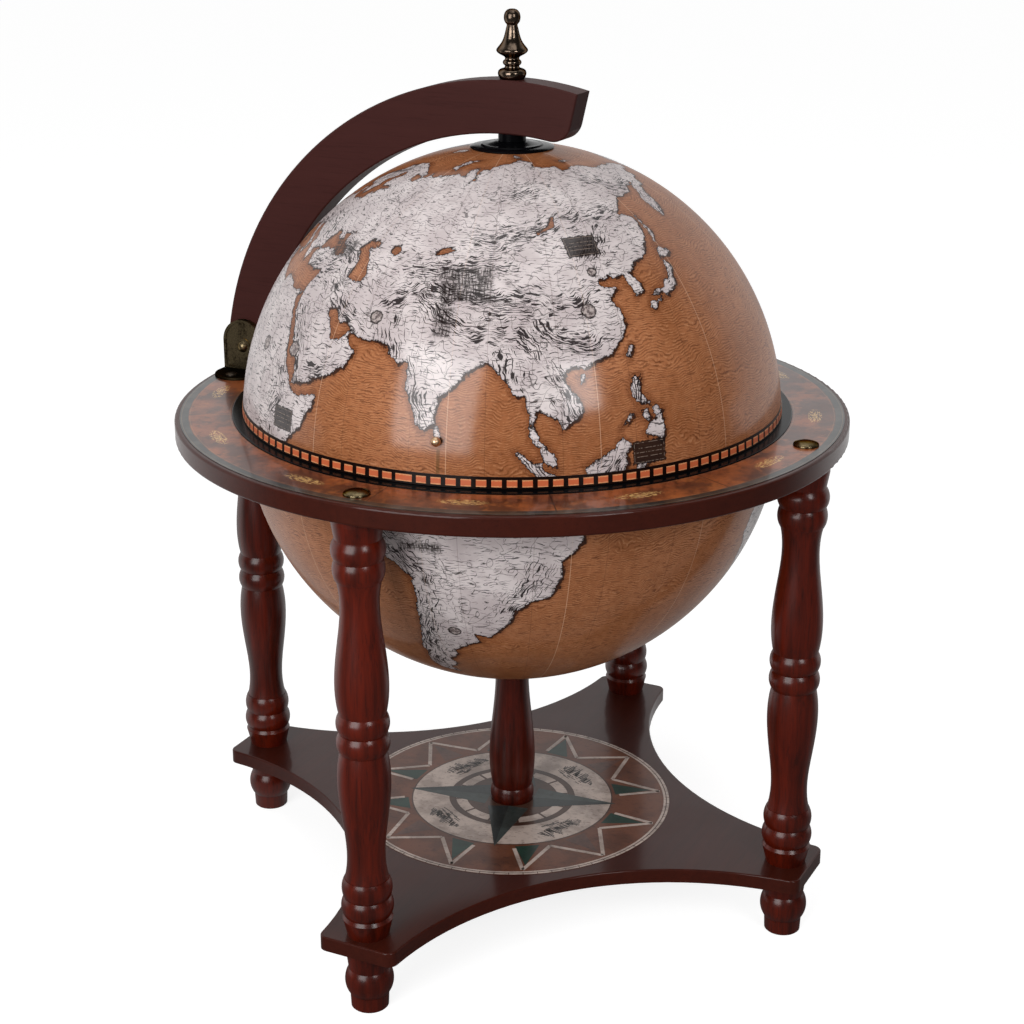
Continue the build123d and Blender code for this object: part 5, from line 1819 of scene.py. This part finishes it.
@dataclass(frozen=True)
class Palette:
    """Every finish on the globe bar."""

    legs: Finish = StainedWood(
        "turned_legs", light=(92, 22, 5), dark=(35, 7, 3), figure=0.85, roughness=0.38, coat=0.72,
        coat_roughness=0.24, specular=0.05, rim=0.2,
    )
    board: Finish = StainedWood(
        "stained_board", light=(66, 24, 14), dark=(46, 15, 9), figure=0.5, roughness=0.42, coat=0.35,
        coat_roughness=0.12, grain=Grain.ALONG_X, rim=1.0,
    )
    arm: Finish = StainedWood(
        "arm_board", light=(66, 34, 31), dark=(55, 27, 25), figure=0.35, roughness=0.5, coat=0.10,
        coat_roughness=0.25, grain=Grain.ALONG_Y, rim=0.6, sawn_way=(0.0, -0.974, -0.227),
        sawn_reach=-71.29,
    )
    tray: Finish = StainedWood(
        "tray_board", light=(104, 50, 30), dark=(66, 28, 17), figure=0.8, roughness=0.4, coat=0.4,
        coat_roughness=0.16, grain=Grain.ALONG_Y,
    )
    brass: Finish = AgedBrass(
        "antique_brass", (156, 138, 106), (38, 31, 21), cover=0.05, roughness=0.22, stained_below=320.6
    )
    # Its dark edge tint dims the finial's grazing reflections: painted shade at its rims in place of darker
    # surroundings.
    finial: Finish = AgedBrass(
        "finial_brass", (113, 98, 85), (46, 38, 33), cover=-0.01, roughness=0.14, edge=(52, 44, 38)
    )
    caps: Finish = AgedBrass("cap_brass", (112, 99, 74), (58, 50, 36), cover=0.0, roughness=0.2)
    screws: Finish = AgedBrass("screw_brass", (84, 76, 68), (42, 37, 33), cover=0.1, roughness=0.3)
    bright: Finish = Gloss("polished_brass", (238, 202, 164), 0.36, metallic=1.0, marks=0.06, specular=0.5)
    black: Finish = Gloss("gloss_black", (7, 7, 9), 0.2, marks=0.06, specular=0.05)
    steel: Finish = Gloss("zinc_steel", (176, 176, 172), 0.3, metallic=1.0, marks=0.12, specular=0.5)
    lining: Finish = Gloss("shell_lining", (74, 40, 28), 0.42, coat=0.2)
    band: Finish = Gloss("band_black", (20, 8, 6), 0.3, marks=0.08, coat=0.15, specular=0.1)
    blocks: Finish = BandPaper("band_orange", (185, 93, 57), (206, 142, 98), middle=323.0, inside=1.25)
    paper: Finish = PrintedPaper("compass_paper")
    horizon: Finish = HorizonPaper("horizon_paper", inner=171.5, outer=203.0, panels=12, first=12.0)
    north: Finish = MapPrint(
        "north_map",
        NORTH_CHART,
        (
            Plate(116.1, 47.6, 19.5, 14.0, 3.0),
            Plate(122.7, 3.2, 21.0, 13.0),
            Plate(41.9, 4.8, 19.0, 13.0),
            Plate(-30.0, 30.0, 20.0, 12.0),
            Plate(-150.0, 28.0, 19.0, 11.0),
            Plate(83.6, 38.9, 31.0, 24.0, 4.0, Emblem.SKETCH),
            Plate(79.4, 30.5, 12.0, 19.0, 0.0, Emblem.SKETCH),
            Plate(40.0, 43.0, 22.0, 14.0, 10.0, Emblem.SKETCH),
            # Painted shadow of the lid knob: a thin line straight below it.
            Plate(81.0, 2.7, 1.9, 13.4, 0.0, Emblem.KNOB_SHADOW),
            Plate(-45.0, 52.0, 9.0, 9.0, 0.0, Emblem.ROUNDEL),
            Plate(40.9, 19.4, 9.6, 9.6, 0.0, Emblem.ROUNDEL),
            Plate(62.6, 30.0, 8.2, 8.2, 0.0, Emblem.ROUNDEL),
            Plate(113.3, 32.7, 9.0, 9.0, 0.0, Emblem.ROUNDEL),
            Plate(116.7, 41.2, 5.8, 5.8, 0.0, Emblem.ROUNDEL),
            Plate(27.5, 17.7, 9.0, 9.0, 0.0, Emblem.ROUNDEL),
        ),
    )
    south: Finish = MapPrint(
        "south_map",
        SOUTH_CHART,
        (
            Plate(-63.0, -33.1, 8.0, 8.0, 0.0, Emblem.ROUNDEL),
            Plate(-67.6, -11.0, 27.0, 8.0, 0.0, Emblem.SKETCH),
            Plate(80.0, -30.0, 20.0, 11.0),
            Plate(-120.0, -35.0, 12.0, 12.0, 0.0, Emblem.ROUNDEL),
        ),
    )


class Shop:
    """Builds each finish once and hands out its material."""

    def __init__(self) -> None:
        """Build the shared effects."""
        self.effects = Effects()
        self.made: dict[str, Material] = {}

    def get(self, finish: Finish) -> Material:
        """Return a finish's material.

        Args:
            finish: The finish.

        Returns:
            Its material, built on first use.
        """
        if finish.name not in self.made:
            self.made[finish.name] = finish.build(self.effects)
        return self.made[finish.name]


@dataclass
class Assembly:
    """What every sub-assembly is given."""

    frame: dict[str, Any]
    shop: Shop
    palette: Palette
    body: str = "stand"

    def coat(self, finish: Finish, *nodes: str) -> None:
        """Give CAD nodes a finish."""
        for node in nodes:
            dress(node, self.shop.get(finish), self.frame)


@dataclass
class Stand(Assembly):
    """Shelf, compass print, turned legs and feet, centre column and their bolts."""

    sides: tuple[str, ...] = ("right", "back", "left", "front")

    def build(self) -> None:
        """Build and dress the stand."""
        palette = self.palette
        self.coat(palette.board, "base_shelf")
        turned = (f"{part}_{side}" for part in ("leg", "foot") for side in self.sides)
        self.coat(palette.legs, "centre_column", *turned)
        self.coat(palette.steel, "foot_bolts", "leg_bolts", "column_bolt")
        rose = Rose().build(self.shop.get(palette.paper))
        stand_for(rose, self.body, "compass_print", "compass_print")


@dataclass
class RingTable(Assembly):
    """Ring board with its print, the bolt caps and the black rim trim."""

    leg_circle: float = 189.7
    cap: tuple[Point, ...] = (
        (0.0, 0.0), (7.4, 0.0), (7.5, 0.3), (7.5, 1.1), (7.35, 1.5), (7.0, 1.72), (6.65, 1.66), (6.45, 1.52),
        (6.25, 1.6), (5.9, 1.9), (5.2, 2.3), (4.2, 2.68), (3.0, 2.94), (1.6, 3.1), (0.0, 3.15),
    )
    cap_segments: int = 48

    def build(self) -> None:
        """Build the caps and dress the rest of the ring table."""
        palette = self.palette
        self.coat(palette.board, "ring_table")
        self.coat(palette.horizon, "horizon_print")
        self.coat(palette.black, "rim_trim")
        profile = tuple((radius, RING_TOP + rise) for radius, rise in self.cap)
        centres = ((self.leg_circle, 0.0), (-self.leg_circle, 0.0), (0.0, -self.leg_circle))
        caps = Turning("cap_domes", profile, centres, self.cap_segments).build(self.shop.get(palette.caps))
        stand_for(caps, self.body, "antique_brass", "bolt_caps")


@dataclass
class Bowl(Assembly):
    """Lower half of the globe with the drinks tray inside."""

    world: WorldMap = field(default_factory=WorldMap)
    screw_hole: float = 3.1

    def build(self) -> None:
        """Build the bowl's shell and dress what is in it."""
        palette, shop = self.palette, self.shop
        shell = GlobeShell("bowl_shell", SOUTH_CHART, RING_TOP, self.screw_hole)
        piece = shell.build(self.world, shop.get(palette.south), shop.get(palette.lining))
        stand_for(piece, self.body, "globe_print", "lower_bowl")
        self.coat(palette.steel, "bowl_washer", "bowl_screw")
        self.coat(palette.tray, "drinks_tray", "bottle_rest")
        self.coat(palette.black, "tray_ledge")


@dataclass
class Hinge(Assembly):
    """Brass bracket, its screws and the hinge pin."""

    def build(self) -> None:
        """Dress the hinge."""
        self.coat(self.palette.brass, "hinge_bracket", "hinge_pin")
        self.coat(self.palette.screws, "hinge_screws")


@dataclass
class Arm(Assembly):
    """Meridian arm with the pole rod and the brass finial."""

    finial_bottom: float = 516.8
    finial: tuple[Point, ...] = (
        (0.0, 8.1), (4.1, 8.1), (4.1, 0.0), (6.5, 0.0), (7.1, 0.4), (7.9, 1.5), (8.35, 2.8), (8.4, 3.8),
        (8.1, 4.9), (7.3, 5.7), (6.2, 6.2), (5.0, 6.5), (4.4, 6.9), (4.2, 7.5), (4.4, 8.1), (5.0, 8.5),
        (5.4, 9.1), (5.5, 9.7), (5.4, 10.3), (5.0, 10.9), (4.4, 11.3), (4.15, 11.9), (4.3, 12.6), (4.9, 13.2),
        (6.2, 13.9), (7.7, 14.7), (8.8, 15.6), (9.25, 16.4), (9.3, 16.9), (9.0, 17.6), (8.3, 18.5),
        (7.3, 19.7), (6.4, 20.9), (5.6, 22.3), (5.0, 23.8), (4.45, 25.6), (4.0, 27.4), (3.6, 29.2),
        (3.25, 30.4), (3.1, 31.1), (3.35, 31.6), (3.9, 32.2), (4.4, 33.0), (4.75, 34.0), (4.9, 35.4),
        (4.75, 36.8), (4.35, 38.0), (3.7, 39.0), (2.8, 39.75), (1.6, 40.2), (0.0, 40.3),
    )

    def build(self) -> None:
        """Build the finial and dress the arm."""
        palette = self.palette
        self.coat(palette.arm, "meridian_arm")
        profile = tuple((radius, self.finial_bottom + rise) for radius, rise in self.finial)
        finial = Turning("pole_finial", profile).build(self.shop.get(palette.finial))
        stand_for(finial, self.body, "antique_brass", "finial")
        self.coat(palette.brass, "arm_bush")
        self.coat(palette.black, "pole_spacer")
        self.coat(palette.steel, "pole_rod", "pole_washer", "pole_nut")


@dataclass
class Lid(Assembly):
    """Upper half of the globe with its band, liner, pole bush and knob."""

    world: WorldMap = field(default_factory=WorldMap)
    repeat: Repeat = field(default_factory=Repeat)
    bush_hole: float = 7.1
    sleeve: float = 7.0
    sleeve_end: float = 472.26
    rod: float = 4.05
    disc: float = 25.0
    disc_top: float = 481.0
    block_seat: float = 0.25
    block_depth: float = 0.3
    block_count: int = 122
    block_step: float = 2.917
    block_width: float = 5.7
    block_rise: float = 4.0
    block_middle: float = 323.0
    first_block: float = -171.27
    join_azimuth: float = -174.8
    join_width: float = 9.7

    def build(self) -> None:
        """Build the lid's shell and band and dress the rest."""
        palette, shop = self.palette, self.shop
        shell = GlobeShell("lid_shell", NORTH_CHART, LID_BOTTOM, self.bush_hole)
        piece = shell.build(self.world, shop.get(palette.north), shop.get(palette.lining))
        stand_for(piece, self.body, "globe_print", "upper_globe")
        self.coat(palette.band, "equator_band")
        self._blocks("band_blocks", self.block_count, self.block_width, self.first_block)
        self._blocks("band_join", 1, self.join_width, self.join_azimuth)
        self.coat(palette.black, "lid_liner", "clamp_nut")
        disc = Turning("pole_disc", self._disc()).build(shop.get(palette.black))
        stand_for(disc, self.body, "black_plastic", "pole_bush")
        self.coat(palette.bright, "lid_knob", "knob_nut")

    def _disc(self) -> tuple[Point, ...]:
        """Return the profile of the black disc.

        It has a domed brim, a step, a flared boss and the sleeve that goes through the shell.

        Returns:
            The closed profile of radii and heights.
        """

        def crown(radius: float) -> float:
            """Return the height of the globe's surface at a radius."""
            return GLOBE_Z + math.sqrt(GLOBE_RADIUS**2 - radius**2)

        edge, rim, top = self.disc, crown(self.disc), self.disc_top
        under = [(r, crown(r)) for r in (self.sleeve, 12.0, 18.0, 22.0, edge - 0.6)]
        brim = [(edge - 0.1, rim + 0.35), (edge, rim + 0.8), (edge - 0.5, rim + 1.15)]
        step = [(21.5, 478.5), (18.8, 478.8), (18.5, 479.2), (17.9, 479.5), (17.1, 479.4), (14.6, 479.7)]
        boss = [(12.2, 480.2), (10.4, 480.7), (9.5, top), (self.rod, top)]
        sleeve = [(self.rod, self.sleeve_end), (self.sleeve, self.sleeve_end)]
        return (*under, *brim, *step, *boss, *sleeve)

    def _blocks(self, name: str, count: int, width: float, start: float) -> None:
        """Print orange blocks on the band.

        Args:
            name: The piece's name.
            count: How many blocks go round.
            width: A block's width.
            start: Azimuth of the first block's middle, in degrees.
        """
        rise = self.block_middle - GLOBE_Z
        reach = math.sqrt(GLOBE_RADIUS**2 - rise**2)
        piece = self.repeat.make(
            name,
            self.shop.get(self.palette.blocks),
            Count=count,
            Radius=(reach + self.block_seat) * MM,
            Height=self.block_middle * MM,
            Width=width * MM,
            Depth=self.block_depth * MM,
            Rise=self.block_rise * MM,
            Lean=-math.asin(rise / GLOBE_RADIUS),
            Start=math.radians(start),
            Step=math.radians(self.block_step),
        )
        stand_for(piece, self.body, "band_print")


@dataclass(frozen=True)
class Panel:
    """A soft light panel that faces the globe, at angles in degrees and a distance in metres."""

    name: str
    azimuth: float
    elevation: float
    distance: float
    size: Point
    watts: float

    def hang(self) -> None:
        """Hang the panel."""
        data = bpy.data.lights.new(self.name, "AREA")
        data.shape = "RECTANGLE"
        data.size, data.size_y = self.size
        data.energy = self.watts
        lamp = bpy.data.objects.new(self.name, data)
        bpy.context.scene.collection.objects.link(lamp)
        turn, lift = math.radians(self.azimuth), math.radians(self.elevation)
        flat = math.cos(lift)
        out = Vector((flat * math.cos(turn), flat * math.sin(turn), math.sin(lift)))
        lamp.location = Vector((0.0, 0.0, GLOBE_Z * MM)) + out * self.distance
        lamp.rotation_euler = (-out).to_track_quat("-Z", "Y").to_euler()


@dataclass
class Studio:
    """Floor, soft lights, white surroundings and the camera."""

    eye: tuple[float, float, float] = (-1.0945, -0.5397, 0.6842)
    gaze: tuple[float, float, float] = (0.8445, 0.4165, -0.3367)
    lens: float = 72.449
    sensor: float = 36.0
    ambient: float = 0.405
    floor_reach: float = 6.0
    panels: tuple[Panel, ...] = (
        Panel("window_left", 174.5, 18.5, 1.7, (1.0, 1.15), 19.5),
        Panel("window_front", -124.5, 24.5, 1.9, (0.46, 0.62), 8.0),
        Panel("overhead", -150.0, 82.0, 1.9, (1.4, 1.4), 8.0),
    )

    def build(self) -> None:
        """Build the studio."""
        self._floor()
        self._world()
        self._camera()
        for panel in self.panels:
            panel.hang()
        bpy.context.scene.view_settings.view_transform = "Standard"

    def _floor(self) -> None:
        """Build the floor."""
        mesh = bpy.data.meshes.new("floor")
        reach = self.floor_reach
        corners = [(-reach, -reach, 0), (reach, -reach, 0), (reach, reach, 0), (-reach, reach, 0)]
        mesh.from_pydata(corners, [], [(0, 1, 2, 3)])
        finish = Backdrop("white_floor", albedo=0.4, lift=0.82, dim=0.05)
        new_object("floor", mesh, [finish.build()])

    def _world(self) -> None:
        """Build the surroundings: an even soft light, seen as white."""
        world = bpy.data.worlds.new("surroundings")
        world.use_nodes = True
        bpy.context.scene.world = world
        graph = Graph(world.node_tree)
        background = next(n for n in world.node_tree.nodes if n.type == "BACKGROUND")
        rays = graph.add("ShaderNodeLightPath").outputs
        towards = graph.add("ShaderNodeTexCoord").outputs["Generated"]
        behind = graph.ramp(graph.dot(towards, BACKDROP_SIDE), -0.1, 0.45, 0.05, 1.0)
        mirror = graph.larger(rays["Is Glossy Ray"], rays["Is Transmission Ray"])
        soft = graph.mix(mirror, (self.ambient,) * 3 + (1.0,), graph.join(behind, behind, behind))
        graph.feed(background, Color=graph.mix(rays["Is Camera Ray"], soft, WHITE), Strength=1.0)

    def _camera(self) -> None:
        """Build the camera."""
        data = bpy.data.cameras.new("view")
        camera = bpy.data.objects.new("view", data)
        bpy.context.scene.collection.objects.link(camera)
        camera.location = self.eye
        camera.rotation_euler = Vector(self.gaze).to_track_quat("-Z", "Y").to_euler()
        data.lens = self.lens
        data.sensor_width = self.sensor
        bpy.context.scene.camera = camera


def main() -> None:
    """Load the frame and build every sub-assembly."""
    logging.basicConfig(level=logging.INFO, format="%(message)s")
    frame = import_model()
    shop, palette, world = Shop(), Palette(), WorldMap()
    Stand(frame, shop, palette).build()
    RingTable(frame, shop, palette).build()
    Bowl(frame, shop, palette, world=world).build()
    Hinge(frame, shop, palette).build()
    Arm(frame, shop, palette, body="arm").build()
    Lid(frame, shop, palette, body="lid", world=world).build()
    Studio().build()


if __name__ == "__main__":
    main()
